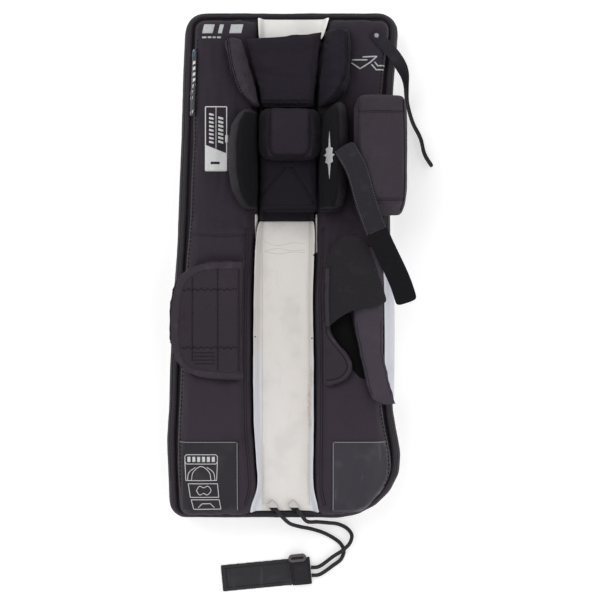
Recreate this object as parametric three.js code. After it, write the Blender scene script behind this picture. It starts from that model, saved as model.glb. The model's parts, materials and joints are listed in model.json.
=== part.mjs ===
// An ice hockey goalie's leg pad, lying face down with its leg side up: a foam body with a white face, two
// long padded risers with a lined leg channel between them, a knee cradle, a thigh flap, a knee block, calf
// flaps, straps, and a toe cord with its strap.
// Millimetres. +Z is up from the surface that the face rests on, +Y runs towards the thigh end and +X
// towards the medial side, where the knee block is. The origin is the middle of the face.
import * as THREE from "three";

// Body: a thin face panel and a deep foam core behind it
const PAD_LENGTH = 635;
const PAD_WIDTH = 280;
const FACE_DEPTH = 8;
const FACE_INSET = 2;
const FACE_EDGE_RADIUS = 7;
const CORE_DEPTH = 38;
const CORE_SHOULDER = 8.5;
const TOP_CORNER = 25;
const OUTER_TOE_CORNER = 20;
const MEDIAL_TOE_CORNER = 80;

// Clearances: between faces that rest on each other, and under cloth that is draped over a crowned pad
const SEAT_GAP = 0.3;
const DRAPE_GAP = 0.8;
const STRAP_GAP = 1.1;

// Bead sewn round the back edge, and the risers inside it
const BEAD_RADIUS = 2.4;
const BEAD_INSET = 9.5;
const BEAD_END_INSET = 7;
const RISER_HEIGHT = 44;
const RISER_SHOULDER = 15;
const RISER_END_ROUND = 14;

// Leg channel between the risers, lined with a folded sheet
const CHANNEL_WIDTH = 76;
const CHANNEL_LEAN = 7;
const LINER_THICKNESS = 2.4;
const FLOOR_FILLET = 3;
const WHITE_LINER_TOP = 262;
const TOP_PANEL_DROP = 28;

// Knee cradle: a floor pad across the channel between two raised wings
const CRADLE_FROM_TOP = 123;
const CRADLE_LENGTH = 130;
const CRADLE_OUTER = 33;
const CRADLE_MEDIAL = 40;
const CRADLE_FLOOR_DEPTH = 8;
const WING_REACH = 38;
const WING_RISE = 57;

// Thigh flap: a flat panel between two rolled wings, and the knee tongue below it
const THIGH_FROM_TOP = 33;
const THIGH_LENGTH = 92;
const THIGH_PANEL_DEPTH = 12;
const THIGH_TOP_OUTER = 52;
const THIGH_TOP_MEDIAL = 46;
const THIGH_FOOT_OUTER = 29;
const THIGH_FOOT_MEDIAL = 36;
const THIGH_OUTER_REACH = 26;
const THIGH_MEDIAL_REACH = 39;
const THIGH_WING_RISE = 36;
const TONGUE_LENGTH = 65;
const TONGUE_WIDTH = 72;
const TONGUE_DEPTH = 30;
const TONGUE_SLOPE = 11;
const TONGUE_CORNER = 14;

// Knee block, standing on the medial riser and reaching past the body's edge
const BLOCK_FROM_TOP = 112;
const BLOCK_LENGTH = 149;
const BLOCK_DEPTH = 62;
const BLOCK_OVERHANG = 14;
const BLOCK_CLEARANCE = 7;
const BLOCK_CORNER = 8;
const BLOCK_EDGE_ROUND = 6;
const BLOCK_TOE_SLOPE = 19;

// Calf flaps on the risers, and the padded strip and elastic band on the medial one
const OUTER_FLAP_LENGTH = 153;
const OUTER_FLAP_REACH = 92;
const OUTER_FLAP_CENTRE = 67;
const FLAP_THICKNESS = 11;
const FLAP_HINGE_INSET = 9;
const FLAP_DROOP = 8;
const FLAP_SPAN = 30;
const MEDIAL_FLAP_LENGTH = 147;
const MEDIAL_FLAP_REACH = 37;
const MEDIAL_FLAP_FROM_CENTRE = 2;
const CALF_STRIP_LENGTH = 190;
const CALF_STRIP_WIDTH = 46;
const CALF_STRIP_TUCK = 7;
const CALF_STRIP_THICKNESS = 14;
const CALF_STRIP_TOP = 22;
const CALF_STRIP_SKEW = 28;
const ELASTIC_REACH = 78;
const ELASTIC_UPPER_REACH = 52;
const ELASTIC_WIDTH = 84;
const ELASTIC_THICKNESS = 2.4;
const ELASTIC_HUMP = 7;
const ELASTIC_TAIL_DROP = 1.5;

// Straps
const KNEE_STRAP_WIDTH = 28;
const KNEE_STRAP_THICKNESS = 2.2;
const KNEE_STRAP_TAIL_DROP = 17;
const THIGH_STRAP_WIDTH = 16;
const THIGH_STRAP_THICKNESS = 1.8;
const THIGH_STRAP_FROM_TOP = 34;
const THIGH_STRAP_TURN = THREE.MathUtils.degToRad(78);
const RIVET_RADIUS = 3.5;
const RIVET_HEIGHT = 1.6;
const RIVET_FROM_EDGE = 28.5;

// Sewn-on sheets
const PATCH_LENGTH = 88;
const PATCH_THICKNESS = 1.2;
const PATCH_TOE_MARGIN = 8;
const GUSSET_LENGTH = 200;
const GUSSET_TOE_END = 172;
const GUSSET_THICKNESS = 1.4;
const TAG_LENGTH = 84;
const TAG_THICKNESS = 1;
const TAG_FROM_TOP = 49;

// Toe cord: two strands from the toe end of the channel to a strap with a sleeve and a hook
const CORD_DIAMETER = 4.8;
const CORD_SIDES = 8;
const CORD_STEPS = 26;
const ANCHOR_WIDTH = 10;
const ANCHOR_LENGTH = 11;
const ANCHOR_HEIGHT = 10;
const ANCHOR_SPACING = 26;
const ANCHOR_TURN = THREE.MathUtils.degToRad(40);
const TOE_STRAP_LENGTH = 114;
const TOE_STRAP_WIDTH = 34;
const TOE_STRAP_THICKNESS = 3;
const TOE_SLEEVE_LENGTH = 26;
const TOE_SLEEVE_DEPTH = 10.5;
const TOE_SLEEVE_X = 31.5;
const TOE_SLEEVE_PAST = 70;
const STRAP_TURN = THREE.MathUtils.degToRad(5.5);
const WEBBING_EDGE = 1;
const HOOK_LENGTH = 23;
const HOOK_WIDTH = 10;
const HOOK_THICKNESS = 4.5;
const HOOK_SLOT = 3;

// Levels that the pieces stack up to
const CORE_BASE = FACE_DEPTH + SEAT_GAP;
const CORE_TOP = CORE_BASE + CORE_DEPTH;
const RISER_BASE = CORE_TOP + SEAT_GAP;
const RISER_INSET = BEAD_INSET + BEAD_RADIUS + DRAPE_GAP;
const RISER_END_INSET = BEAD_END_INSET + BEAD_RADIUS + DRAPE_GAP;
const TOP_Y = PAD_LENGTH / 2;
const TOE_Y = -PAD_LENGTH / 2;
const SKY = 10 * PAD_WIDTH;

// Faces along and across the sheets
const OUTER_FLAP_STEPS = [12, 9];
const MEDIAL_FLAP_STEPS = [18, 2];
const CALF_STRIP_STEPS = [14, 4];
const ELASTIC_STEPS = [8, 10];
const KNEE_STRAP_STEPS = [24, 2];
const THIGH_STRAP_STEPS = [34, 2];
const LEAST_STEP = 1.5;

// Plan of the body: places along it as shares of PAD_LENGTH, its two edges as shares of PAD_WIDTH
const OUTLINE = [
  { along: -0.5, outer: -0.52, medial: 0.52 },
  { along: -0.4, outer: -0.536, medial: 0.52 },
  { along: -0.345, outer: -0.535, medial: 0.505 },
  { along: -0.285, outer: -0.527, medial: 0.481 },
  { along: -0.2, outer: -0.522, medial: 0.482 },
  { along: -0.08, outer: -0.508, medial: 0.482 },
  { along: 0.06, outer: -0.487, medial: 0.47 },
  { along: 0.2, outer: -0.475, medial: 0.471 },
  { along: 0.34, outer: -0.465, medial: 0.482 },
  { along: 0.42, outer: -0.458, medial: 0.5 },
  { along: 0.5, outer: -0.452, medial: 0.507 },
];

// Edges of the channel: places as shares of PAD_LENGTH, edges as shares of CHANNEL_WIDTH
const CHANNEL = [
  { along: -0.5, outer: -0.61, medial: 0.57 },
  { along: -0.465, outer: -0.56, medial: 0.52 },
  { along: -0.44, outer: -0.475, medial: 0.465 },
  { along: -0.4, outer: -0.475, medial: 0.455 },
  { along: -0.32, outer: -0.53, medial: 0.465 },
  { along: -0.14, outer: -0.535, medial: 0.462 },
  { along: -0.055, outer: -0.53, medial: 0.44 },
  { along: 0.04, outer: -0.505, medial: 0.487 },
  { along: 0.062, outer: -0.487, medial: 0.482 },
  { along: 0.1, outer: -0.432, medial: 0.472 },
  { along: 0.3, outer: -0.43, medial: 0.47 },
  { along: 0.4, outer: -0.43, medial: 0.5 },
  { along: 0.46, outer: -0.455, medial: 0.66 },
  { along: 0.5, outer: -0.46, medial: 0.75 },
];

// Height of the risers' crown: places as shares of PAD_LENGTH, rise as a share of RISER_HEIGHT
const RISER_CROWN = [
  { along: -0.5, rise: 0.66 },
  { along: -0.42, rise: 0.84 },
  { along: -0.32, rise: 0.96 },
  { along: -0.2, rise: 1 },
  { along: 0.04, rise: 1 },
  { along: 0.062, rise: 0.93 },
  { along: 0.09, rise: 0.7 },
  { along: 0.1, rise: 0.68 },
  { along: 0.32, rise: 0.68 },
  { along: 0.38, rise: 0.58 },
  { along: 0.5, rise: 0.55 },
];

// Where the boot patches and the woven tag lie round a riser's section, counted in its points
const PATCH_SECTION = [{ point: 4.7 }, { point: 5 }, { point: 6 }, { point: 7 }, { point: 8 }, { point: 9 }];
const TAG_SECTION = [{ point: 8 }, { point: 8.5 }, { point: 9 }, { point: 9.5 }];

// Section of a riser from the channel's side to the outer side: inset as a share of RISER_SHOULDER from the
// side that it is measured from, rise as a share of the crown there
const RISER_SECTION = [
  { from: "channel", inset: -0.4, rise: 0 },
  { from: "channel", inset: -0.05, rise: 0.62 },
  { from: "channel", inset: 0.08, rise: 0.82 },
  { from: "channel", inset: 0.34, rise: 0.94 },
  { from: "channel", inset: 0.95, rise: 0.995 },
  { from: "channel", inset: 1.7, rise: 1 },
  { from: "edge", inset: 1.7, rise: 1 },
  { from: "edge", inset: 0.95, rise: 0.985 },
  { from: "edge", inset: 0.4, rise: 0.9 },
  { from: "edge", inset: 0.12, rise: 0.7 },
  { from: "edge", inset: 0, rise: 0.36 },
  { from: "edge", inset: 0.1, rise: 0 },
];

// Rows of a riser's section that the gusset reaches up to, past the bead
const GUSSET_RISER_ROWS = [10.2, 10, 9.6, 9.3];

// Stacked levels of the face, core, tongue and block: rise as a share of the piece's depth, inset as a
// share of its edge radius or slope
const FACE_LEVELS = [
  { rise: 0, inset: 1 },
  { rise: 0.1, inset: 0.56 },
  { rise: 0.32, inset: 0.26 },
  { rise: 0.65, inset: 0.07 },
  { rise: 1, inset: 0 },
];
const CORE_LEVELS = [
  { rise: 0, inset: 0.25 },
  { rise: 0.1, inset: 0.05 },
  { rise: 0.35, inset: 0 },
  { rise: 0.72, inset: 0.05 },
  { rise: 0.88, inset: 0.22 },
  { rise: 0.97, inset: 0.55 },
  { rise: 1, inset: 0.85 },
];
const TONGUE_LEVELS = [
  { rise: 0, inset: 0.35 },
  { rise: 0.2, inset: 0.06 },
  { rise: 0.42, inset: 0 },
  { rise: 0.7, inset: 0.3 },
  { rise: 0.9, inset: 0.72 },
  { rise: 1, inset: 1.25 },
];
const BLOCK_LEVELS = [
  { rise: 0, inset: 0.5 },
  { rise: 0.07, inset: 0.15 },
  { rise: 0.3, inset: 0 },
  { rise: 0.78, inset: 0 },
  { rise: 0.92, inset: 0.22 },
  { rise: 0.985, inset: 0.7 },
  { rise: 1, inset: 1.5 },
];

// Section of a raised wing, from the inner side out: reach and rise as shares of the wing's own
const WING_SECTION = [
  { reach: 0, rise: 0 },
  { reach: 0.1, rise: 0.28 },
  { reach: 0.28, rise: 0.68 },
  { reach: 0.44, rise: 0.93 },
  { reach: 0.58, rise: 1 },
  { reach: 0.76, rise: 0.94 },
  { reach: 0.92, rise: 0.72 },
  { reach: 1, rise: 0.36 },
  { reach: 0.97, rise: 0 },
];

// Rows of the wings, from the toe side up: places as shares of the length, foot and reach as shares of the
// wing's named reach, rise as a share of its named rise
const CRADLE_WING_OUTER = [
  { along: 0, foot: 0, reach: 0.34, rise: 0.28 },
  { along: 0.05, foot: 0, reach: 0.6, rise: 0.55 },
  { along: 0.2, foot: 0, reach: 0.88, rise: 0.86 },
  { along: 0.4, foot: 0, reach: 1, rise: 0.98 },
  { along: 0.64, foot: 0, reach: 1, rise: 1 },
  { along: 0.83, foot: 0, reach: 0.88, rise: 0.97 },
  { along: 0.94, foot: 0, reach: 0.64, rise: 0.82 },
  { along: 0.97, foot: 0, reach: 0.42, rise: 0.6 },
];
const CRADLE_WING_MEDIAL = [
  { along: 0, foot: 0, reach: 0.6, rise: 0.35 },
  { along: 0.07, foot: 0, reach: 0.85, rise: 0.66 },
  { along: 0.2, foot: 0, reach: 0.93, rise: 0.88 },
  { along: 0.45, foot: 0, reach: 0.96, rise: 1 },
  { along: 0.75, foot: 0, reach: 0.96, rise: 1 },
  { along: 0.95, foot: 0.04, reach: 0.95, rise: 0.9 },
  { along: 0.985, foot: 0.25, reach: 0.92, rise: 0.78 },
  { along: 1.02, foot: 0.45, reach: 0.86, rise: 0.62 },
  { along: 1.05, foot: 0.6, reach: 0.76, rise: 0.4 },
];
const THIGH_WING_OUTER = [
  { along: 0, foot: 0, reach: 0.2, rise: 0.5 },
  { along: 0.06, foot: 0, reach: 0.48, rise: 0.78 },
  { along: 0.25, foot: 0, reach: 0.86, rise: 1 },
  { along: 0.5, foot: 0, reach: 1, rise: 0.98 },
  { along: 0.8, foot: 0, reach: 1, rise: 0.84 },
  { along: 1, foot: 0, reach: 0.94, rise: 0.6 },
];
const THIGH_WING_MEDIAL = [
  { along: 0, foot: 0, reach: 0.24, rise: 0.45 },
  { along: 0.07, foot: 0, reach: 0.42, rise: 0.74 },
  { along: 0.18, foot: 0, reach: 0.68, rise: 0.92 },
  { along: 0.42, foot: 0, reach: 1, rise: 1 },
  { along: 0.75, foot: 0, reach: 0.96, rise: 0.86 },
  { along: 1.02, foot: 0, reach: 0.84, rise: 0.6 },
];

// Free edge of the medial calf flap, from its toe end up: shares of its length and of its reach
const MEDIAL_FLAP_EDGE = [
  { along: 0, reach: 0.3 },
  { along: 0.03, reach: 0.7 },
  { along: 0.08, reach: 0.9 },
  { along: 0.16, reach: 1 },
  { along: 0.25, reach: 0.88 },
  { along: 0.35, reach: 0.55 },
  { along: 0.45, reach: 0.28 },
  { along: 1, reach: 0.24 },
];

// Width of the medial calf strip, from its toe end up: shares of its length and of its width at the top
const CALF_STRIP_BREADTH = [
  { along: 0, share: 0.63 },
  { along: 0.25, share: 0.67 },
  { along: 0.42, share: 0.76 },
  { along: 0.58, share: 0.87 },
  { along: 1, share: 1 },
];

// Plan of the elastic band, from the hinge side outwards: across as a share of its reach, its upper and
// lower edges as shares of ELASTIC_WIDTH
const ELASTIC_PLAN = [
  { across: 0, upper: 0.02, lower: -0.96 },
  { across: 0.12, upper: 0.22, lower: -0.85 },
  { across: 0.35, upper: 0.4, lower: -0.69 },
  { across: 0.6, upper: 0.45, lower: -0.6 },
  { across: 0.82, upper: 0.43, lower: -0.55 },
  { across: 1, upper: 0.33, lower: -0.46 },
];

// Course of the wide strap below where it is sewn on: places from the middle of the knee block's toe end,
// across and past it, as shares of the strap's width
const KNEE_STRAP_PLAN = [
  { across: -0.68, past: -0.75 },
  { across: -0.36, past: 0.15 },
  { across: 0.1, past: 1.18 },
  { across: 0.64, past: 2.25 },
  { across: 0.96, past: 2.97 },
  { across: 1.21, past: 3.72 },
];

// Course of the thin strap: places out from the body's medial edge and down from the thigh end, as shares
// of the strap's width, and its height as a share of the way from the floor to the riser's top
const THIGH_STRAP_COURSE = [
  { out: -2.06, down: 1.87, height: 1 },
  { out: -1.25, down: 2.69, height: 1 },
  { out: -0.31, down: 3.75, height: 0.985 },
  { out: 0.31, down: 4.75, height: 0.82 },
  { out: 0.56, down: 5.75, height: 0.6 },
  { out: 0.81, down: 7, height: 0.07 },
  { out: 1.25, down: 8.5, height: 0 },
  { out: 1.88, down: 9.75, height: 0 },
  { out: 2.19, down: 11, height: 0 },
  { out: 2.81, down: 12, height: 0 },
];

// Profile of the toe strap, from the tab's end to the sleeve's: what is left of each as a share of its
// length, and how far the depth has grown from the tab's to the sleeve's
const TOE_STRAP_PROFILE = [
  { tab: 1, sleeve: 1, deep: 0 },
  { tab: 0.5, sleeve: 1, deep: 0 },
  { tab: 0.05, sleeve: 1, deep: 0 },
  { tab: 0, sleeve: 0.85, deep: 0.8 },
  { tab: 0, sleeve: 0.5, deep: 1 },
  { tab: 0, sleeve: 0.12, deep: 1 },
  { tab: 0, sleeve: 0, deep: 0.65 },
];

// Colours from the photograph
const MATERIALS = {
  whiteLeather: fabric(0xe4e1dc, 0.5),
  channelLining: fabric(0xdcd8d0, 0.55),
  bodyNylon: fabric(0x2b272e, 0.8),
  binding: fabric(0x1f1c22, 0.85),
  padNylon: fabric(0x3a353d, 0.85),
  cradleNylon: fabric(0x28252c, 0.85),
  kneeNylon: fabric(0x3d3840, 0.8),
  flapNylon: fabric(0x38333a, 0.85),
  webbing: fabric(0x302e32, 0.9),
  elastic: fabric(0x2b292c, 0.95),
  bootLeather: fabric(0x3a383d, 0.5),
  cordBraid: fabric(0x232125, 0.8),
  hookPlastic: fabric(0x524c4e, 0.45),
  tagRibbon: fabric(0x50758c, 0.6),
  rivetMetal: new THREE.MeshStandardMaterial({ color: 0xb8b8bc, roughness: 0.3, metalness: 1 }),
};

function fabric(color, roughness) {
  return new THREE.MeshStandardMaterial({ color, roughness, metalness: 0 });
}

const clamp = THREE.MathUtils.clamp;
const lerp = THREE.MathUtils.lerp;

// The rows of a table on either side of a place, and how far between them it lies
function rowsAround(table, key, at) {
  const next = table.findIndex((row) => row[key] > at);
  const i = next < 0 ? table.length - 2 : Math.max(next - 1, 0);
  const share = clamp((at - table[i][key]) / (table[i + 1][key] - table[i][key]), 0, 1);
  return { i, share };
}

// A column of a table at a place between its rows, on straight lines
function straightAt(table, key, column, at) {
  const { i, share } = rowsAround(table, key, at);
  return lerp(table[i][column], table[i + 1][column], share);
}

// A column of a table at a place between its rows, on a smooth curve through them
function smoothAt(table, key, column, at) {
  const { i, share: t } = rowsAround(table, key, at);
  const slope = (row) => {
    const [low, high] = [table[Math.max(row - 1, 0)], table[Math.min(row + 1, table.length - 1)]];
    return (high[column] - low[column]) / (high[key] - low[key]);
  };
  const span = table[i + 1][key] - table[i][key];
  return (
    (2 * t ** 3 - 3 * t ** 2 + 1) * table[i][column] +
    (t ** 3 - 2 * t ** 2 + t) * span * slope(i) +
    (3 * t ** 2 - 2 * t ** 3) * table[i + 1][column] +
    (t ** 3 - t ** 2) * span * slope(i + 1)
  );
}

// A geometry from points and triangles, with its faces turned outwards
function closedGeometry(points, triangles) {
  let volume = 0;
  for (const [a, b, c] of triangles) {
    volume += points[a].dot(new THREE.Vector3().crossVectors(points[b], points[c]));
  }
  const facing = volume < 0 ? triangles.map(([a, b, c]) => [a, c, b]) : triangles;
  const geometry = new THREE.BufferGeometry().setFromPoints(points);
  geometry.setIndex(facing.flat());
  geometry.computeVertexNormals();
  return geometry;
}

// Triangles that cover a flat loop of points, wound the same way as the loop
function capOf(loop, first) {
  const normal = new THREE.Vector3();
  loop.forEach((p, i) => normal.add(new THREE.Vector3().crossVectors(p, loop[(i + 1) % loop.length])));
  const [x, y, z] = normal.toArray().map(Math.abs);
  const flat = loop.map((p) => {
    if (z >= x && z >= y) return new THREE.Vector2(p.x, p.y);
    return y >= x ? new THREE.Vector2(p.z, p.x) : new THREE.Vector2(p.y, p.z);
  });
  const turn = Math.sign(THREE.ShapeUtils.area(flat));
  return THREE.ShapeUtils.triangulateShape(flat, []).map(([a, b, c]) => {
    const same = Math.sign(THREE.ShapeUtils.area([flat[a], flat[b], flat[c]])) === turn;
    return (same ? [a, b, c] : [a, c, b]).map((i) => i + first);
  });
}

// A closed solid through a stack of loops that have the same number of points
function throughLoops(loops) {
  const count = loops[0].length;
  const triangles = capOf(loops[0], 0).map(([a, b, c]) => [a, c, b]);
  for (let k = 0; k + 1 < loops.length; k++) {
    for (let i = 0; i < count; i++) {
      const [a, b] = [k * count + i, k * count + ((i + 1) % count)];
      triangles.push([a, b, b + count], [a, b + count, a + count]);
    }
  }
  triangles.push(...capOf(loops.at(-1), (loops.length - 1) * count));
  return closedGeometry(loops.flat(), triangles);
}

// A closed ring through sections that have the same number of points, the last joined to the first
function throughRing(sections) {
  const [rows, count] = [sections.length, sections[0].length];
  const triangles = [];
  for (let k = 0; k < rows; k++) {
    for (let i = 0; i < count; i++) {
      const [here, next] = [k * count, ((k + 1) % rows) * count];
      const [a, b] = [i, (i + 1) % count];
      triangles.push([here + a, here + b, next + b], [here + a, next + b, next + a]);
    }
  }
  return closedGeometry(sections.flat(), triangles);
}

// A sheet of a given thickness about the surface at(u, v), with u and v from 0 to 1
function sheet(rows, columns, thickness, at) {
  const grid = (side) => {
    const points = [];
    for (let j = 0; j <= rows; j++) {
      for (let i = 0; i <= columns; i++) {
        const [u, v] = [i / columns, j / rows];
        const [du, dv] = [0.25 / columns, 0.25 / rows];
        const across = at(Math.min(u + du, 1), v).sub(at(Math.max(u - du, 0), v));
        const along = at(u, Math.min(v + dv, 1)).sub(at(u, Math.max(v - dv, 0)));
        const normal = across.cross(along).normalize();
        points.push(at(u, v).addScaledVector(normal, (side * thickness) / 2));
      }
    }
    return points;
  };
  const [wide, size] = [columns + 1, (rows + 1) * (columns + 1)];
  const triangles = [];
  const quad = (a, b, c, d) => triangles.push([a, b, c], [a, c, d]);
  for (let j = 0; j < rows; j++) {
    for (let i = 0; i < columns; i++) {
      const a = j * wide + i;
      quad(a, a + 1, a + wide + 1, a + wide);
      quad(size + a, size + a + wide, size + a + wide + 1, size + a + 1);
    }
  }
  for (let i = 0; i < columns; i++) {
    const far = rows * wide + i;
    quad(i + 1, i, size + i, size + i + 1);
    quad(far, far + 1, size + far + 1, size + far);
  }
  for (let j = 0; j < rows; j++) {
    const [near, far] = [j * wide, j * wide + columns];
    quad(near, near + wide, size + near + wide, size + near);
    quad(far + wide, far, size + far, size + far + wide);
  }
  return closedGeometry([...grid(1), ...grid(-1)], triangles);
}

function piece(name, geometry, material) {
  const mesh = new THREE.Mesh(geometry, material);
  mesh.name = name;
  return mesh;
}

// The height of the highest of some pieces over a place, or another height where none is there
function heightOver(pieces, x, y, otherwise) {
  const ray = new THREE.Raycaster(new THREE.Vector3(x, y, SKY), new THREE.Vector3(0, 0, -1));
  pieces.forEach((mesh) => mesh.updateWorldMatrix(true, false));
  const hit = ray.intersectObjects(pieces, false)[0];
  return hit ? hit.point.z : otherwise;
}

// Heights of a band pulled tight along a row of places over some pieces. Each place is a list of points
// across the band, and past the last place that is held up the band falls by tailDrop.
function tautHeights(supports, row, tailDrop) {
  const heights = row.map((points) => Math.max(...points.map((p) => heightOver(supports, p.x, p.y, 0))));
  const middle = row.map((points) => points[Math.floor(points.length / 2)]);
  const reach = middle.map((p) => Math.hypot(p.x - middle[0].x, p.y - middle[0].y));
  const held = heights.findLastIndex((z) => z > 0);
  const tight = heights.slice(0, held + 1).map((z, i) => {
    let height = z;
    for (let a = 0; a < i; a++) {
      for (let b = i + 1; b <= held; b++) {
        const share = (reach[i] - reach[a]) / (reach[b] - reach[a]);
        height = Math.max(height, lerp(heights[a], heights[b], share));
      }
    }
    return height;
  });
  return heights.map((_, i) => {
    if (i <= held) return tight[i];
    return tight[held] - tailDrop * ((i - held) / (heights.length - 1 - held)) ** 1.5;
  });
}

const SIDES = {
  outer: { sign: -1, column: "outer", toeCorner: OUTER_TOE_CORNER, topCorner: TOP_CORNER },
  medial: { sign: 1, column: "medial", toeCorner: MEDIAL_TOE_CORNER, topCorner: TOP_CORNER },
};

// Radius of a side's corner at the toe or the thigh end, once the outline is taken in
function cornerRadius(side, y, inset) {
  return Math.max((y < 0 ? side.toeCorner : side.topCorner) - inset, 1);
}

// The body's edge on a side with its round corners, taken in by inset there and by endInset at both ends
function edgeX(side, y, inset = 0, endInset = inset) {
  const radius = cornerRadius(side, y, inset);
  const fromEnd = clamp(PAD_LENGTH / 2 - endInset - Math.abs(y), 0, radius);
  const cut = radius - Math.sqrt(radius ** 2 - (radius - fromEnd) ** 2);
  const straight = PAD_WIDTH * smoothAt(OUTLINE, "along", side.column, y / PAD_LENGTH);
  return straight - side.sign * (inset + cut);
}

// The channel's edge on a side, at the top of the lining
function channelX(side, y) {
  return CHANNEL_WIDTH * smoothAt(CHANNEL, "along", side.column, y / PAD_LENGTH);
}

// Shares of a corner's radius at even steps round it
const quarterSteps = [0, 1, 2, 3, 4, 5].map((step) => 1 - Math.cos((step / 5) * (Math.PI / 2)));

// Places along one side: close together round its corners, and at the given ones between them
function placesAlong(side, inset, endInset, between) {
  const [toe, top] = [TOE_Y + endInset, TOP_Y - endInset];
  const [toeRadius, topRadius] = [cornerRadius(side, toe, inset), cornerRadius(side, top, inset)];
  return [
    ...quarterSteps.map((share) => toe + toeRadius * share),
    ...between.filter((y) => y > toe + toeRadius + LEAST_STEP && y < top - topRadius - LEAST_STEP),
    ...quarterSteps.map((share) => top - topRadius * share).reverse(),
  ];
}

// Places of a table's rows along the pad, in millimetres
function placesOf(table) {
  return table.map(({ along }) => along * PAD_LENGTH);
}

// The body's outline as a loop of points at a height, taken in by inset
function outlineLoop(inset, z, endInset = inset) {
  const between = placesOf(OUTLINE).filter((y) => Math.abs(y) < TOP_Y - MEDIAL_TOE_CORNER);
  const places = between.flatMap((y, i) => (i ? [(between[i - 1] + y) / 2, y] : [y]));
  const along = (side) =>
    placesAlong(side, inset, endInset, places).map(
      (y) => new THREE.Vector3(edgeX(side, y, inset, endInset), y, z),
    );
  return [...along(SIDES.outer), ...along(SIDES.medial).reverse()];
}

function frontFace() {
  const loops = FACE_LEVELS.map(({ rise, inset }) =>
    outlineLoop(FACE_INSET + inset * FACE_EDGE_RADIUS, rise * FACE_DEPTH),
  );
  return piece("front_face", throughLoops(loops), MATERIALS.whiteLeather);
}

function core() {
  const loops = CORE_LEVELS.map(({ rise, inset }) =>
    outlineLoop(inset * CORE_SHOULDER, CORE_BASE + rise * CORE_DEPTH),
  );
  return piece("core", throughLoops(loops), MATERIALS.bodyNylon);
}

// A round bead along the back edge, lying on the core
function backBead() {
  const corners = 7;
  const centre = outlineLoop(BEAD_INSET, CORE_TOP + SEAT_GAP + BEAD_RADIUS, BEAD_END_INSET);
  const sections = centre.map((p, i) => {
    const [before, after] = [centre.at(i - 1), centre[(i + 1) % centre.length]];
    const outwards = new THREE.Vector3(after.y - before.y, before.x - after.x, 0).normalize();
    return Array.from({ length: corners }, (_, k) => {
      const angle = (k / corners) * 2 * Math.PI - Math.PI / 2;
      const out = p.clone().addScaledVector(outwards, BEAD_RADIUS * Math.cos(angle));
      return out.setZ(p.z + BEAD_RADIUS * Math.sin(angle));
    });
  });
  return piece("back_bead", throughRing(sections), MATERIALS.binding);
}

// Height of the risers' crown, rounded off towards both ends
function crownZ(y) {
  const end = PAD_LENGTH / 2 - RISER_END_INSET;
  const fromEnd = clamp((end - Math.abs(y)) / RISER_END_ROUND, 0, 1);
  const rounded = lerp(0.45, 1, Math.sqrt(fromEnd * (2 - fromEnd)));
  return RISER_BASE + RISER_HEIGHT * straightAt(RISER_CROWN, "along", "rise", y / PAD_LENGTH) * rounded;
}

// The side of a riser that faces the channel, at the top of the lining
function riserChannelX(side, y) {
  return channelX(side, y) + side.sign * (LINER_THICKNESS / 2 + DRAPE_GAP);
}

// The side of a riser that faces outwards, at its widest
function riserEdgeX(side, y, inset = 0) {
  return edgeX(side, y, RISER_INSET + inset, RISER_END_INSET + inset);
}

// Places of the risers' sections: round the corners and ends, and at the rows of the tables between them
function riserPlaces() {
  const corners = Object.values(SIDES).flatMap((side) => {
    const [toe, top] = [TOE_Y + RISER_END_INSET, TOP_Y - RISER_END_INSET];
    const [toeRadius, topRadius] = [toe, top].map((y) => cornerRadius(side, y, RISER_INSET));
    return quarterSteps.flatMap((share) => [toe + toeRadius * share, top - topRadius * share]);
  });
  const rows = [RISER_CROWN, CHANNEL, [{ along: -0.26 }, { along: 0.2 }]].flatMap(placesOf);
  const kept = [];
  for (const y of [...corners, ...rows].sort((a, b) => a - b)) {
    const inside = Math.abs(y) <= PAD_LENGTH / 2 - RISER_END_INSET + 1e-6;
    if (inside && (!kept.length || y - kept.at(-1) > LEAST_STEP)) kept.push(y);
  }
  kept[kept.length - 1] = TOP_Y - RISER_END_INSET;
  return kept;
}

const RISER_PLACES = riserPlaces();

// A riser's sections, one for each of its places
function riserSections(side) {
  return RISER_PLACES.map((y) => {
    const [channel, edge] = [riserChannelX(side, y), riserEdgeX(side, y)];
    const height = crownZ(y) - RISER_BASE;
    return RISER_SECTION.map(({ from, inset, rise }) => {
      const off = side.sign * inset * Math.min(RISER_SHOULDER, Math.abs(edge - channel) / 4);
      const lean = inset < 0 ? -side.sign * CHANNEL_LEAN * (inset / RISER_SECTION[0].inset) : off;
      const x = from === "channel" ? channel + lean : edge - off;
      return new THREE.Vector3(x, y, RISER_BASE + rise * height);
    });
  });
}

for (const side of Object.values(SIDES)) side.sections = riserSections(side);

function riser(name, side) {
  return piece(name, throughLoops(side.sections), MATERIALS.padNylon);
}

// A point on a riser's surface: at a place along it, and at a place round its section counted in table rows
function riserPoint(side, y, round) {
  const next = RISER_PLACES.findIndex((place) => place > y);
  const k = next < 0 ? RISER_PLACES.length - 2 : Math.max(next - 1, 0);
  const share = clamp((y - RISER_PLACES[k]) / (RISER_PLACES[k + 1] - RISER_PLACES[k]), 0, 1);
  const i = clamp(Math.floor(round), 0, RISER_SECTION.length - 2);
  const [near, far] = [side.sections[k], side.sections[k + 1]].map((section) =>
    section[i].clone().lerp(section[i + 1], round - i),
  );
  return near.lerp(far, share);
}

// A point off a riser's surface by a distance along its normal
function offRiser(side, y, round, distance) {
  const across = riserPoint(side, y, round + 0.1).sub(riserPoint(side, y, round - 0.1));
  const along = riserPoint(side, y + 1, round).sub(riserPoint(side, y - 1, round));
  const normal = across.cross(along).normalize().multiplyScalar(side.sign);
  return riserPoint(side, y, round).addScaledVector(normal, distance);
}

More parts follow.
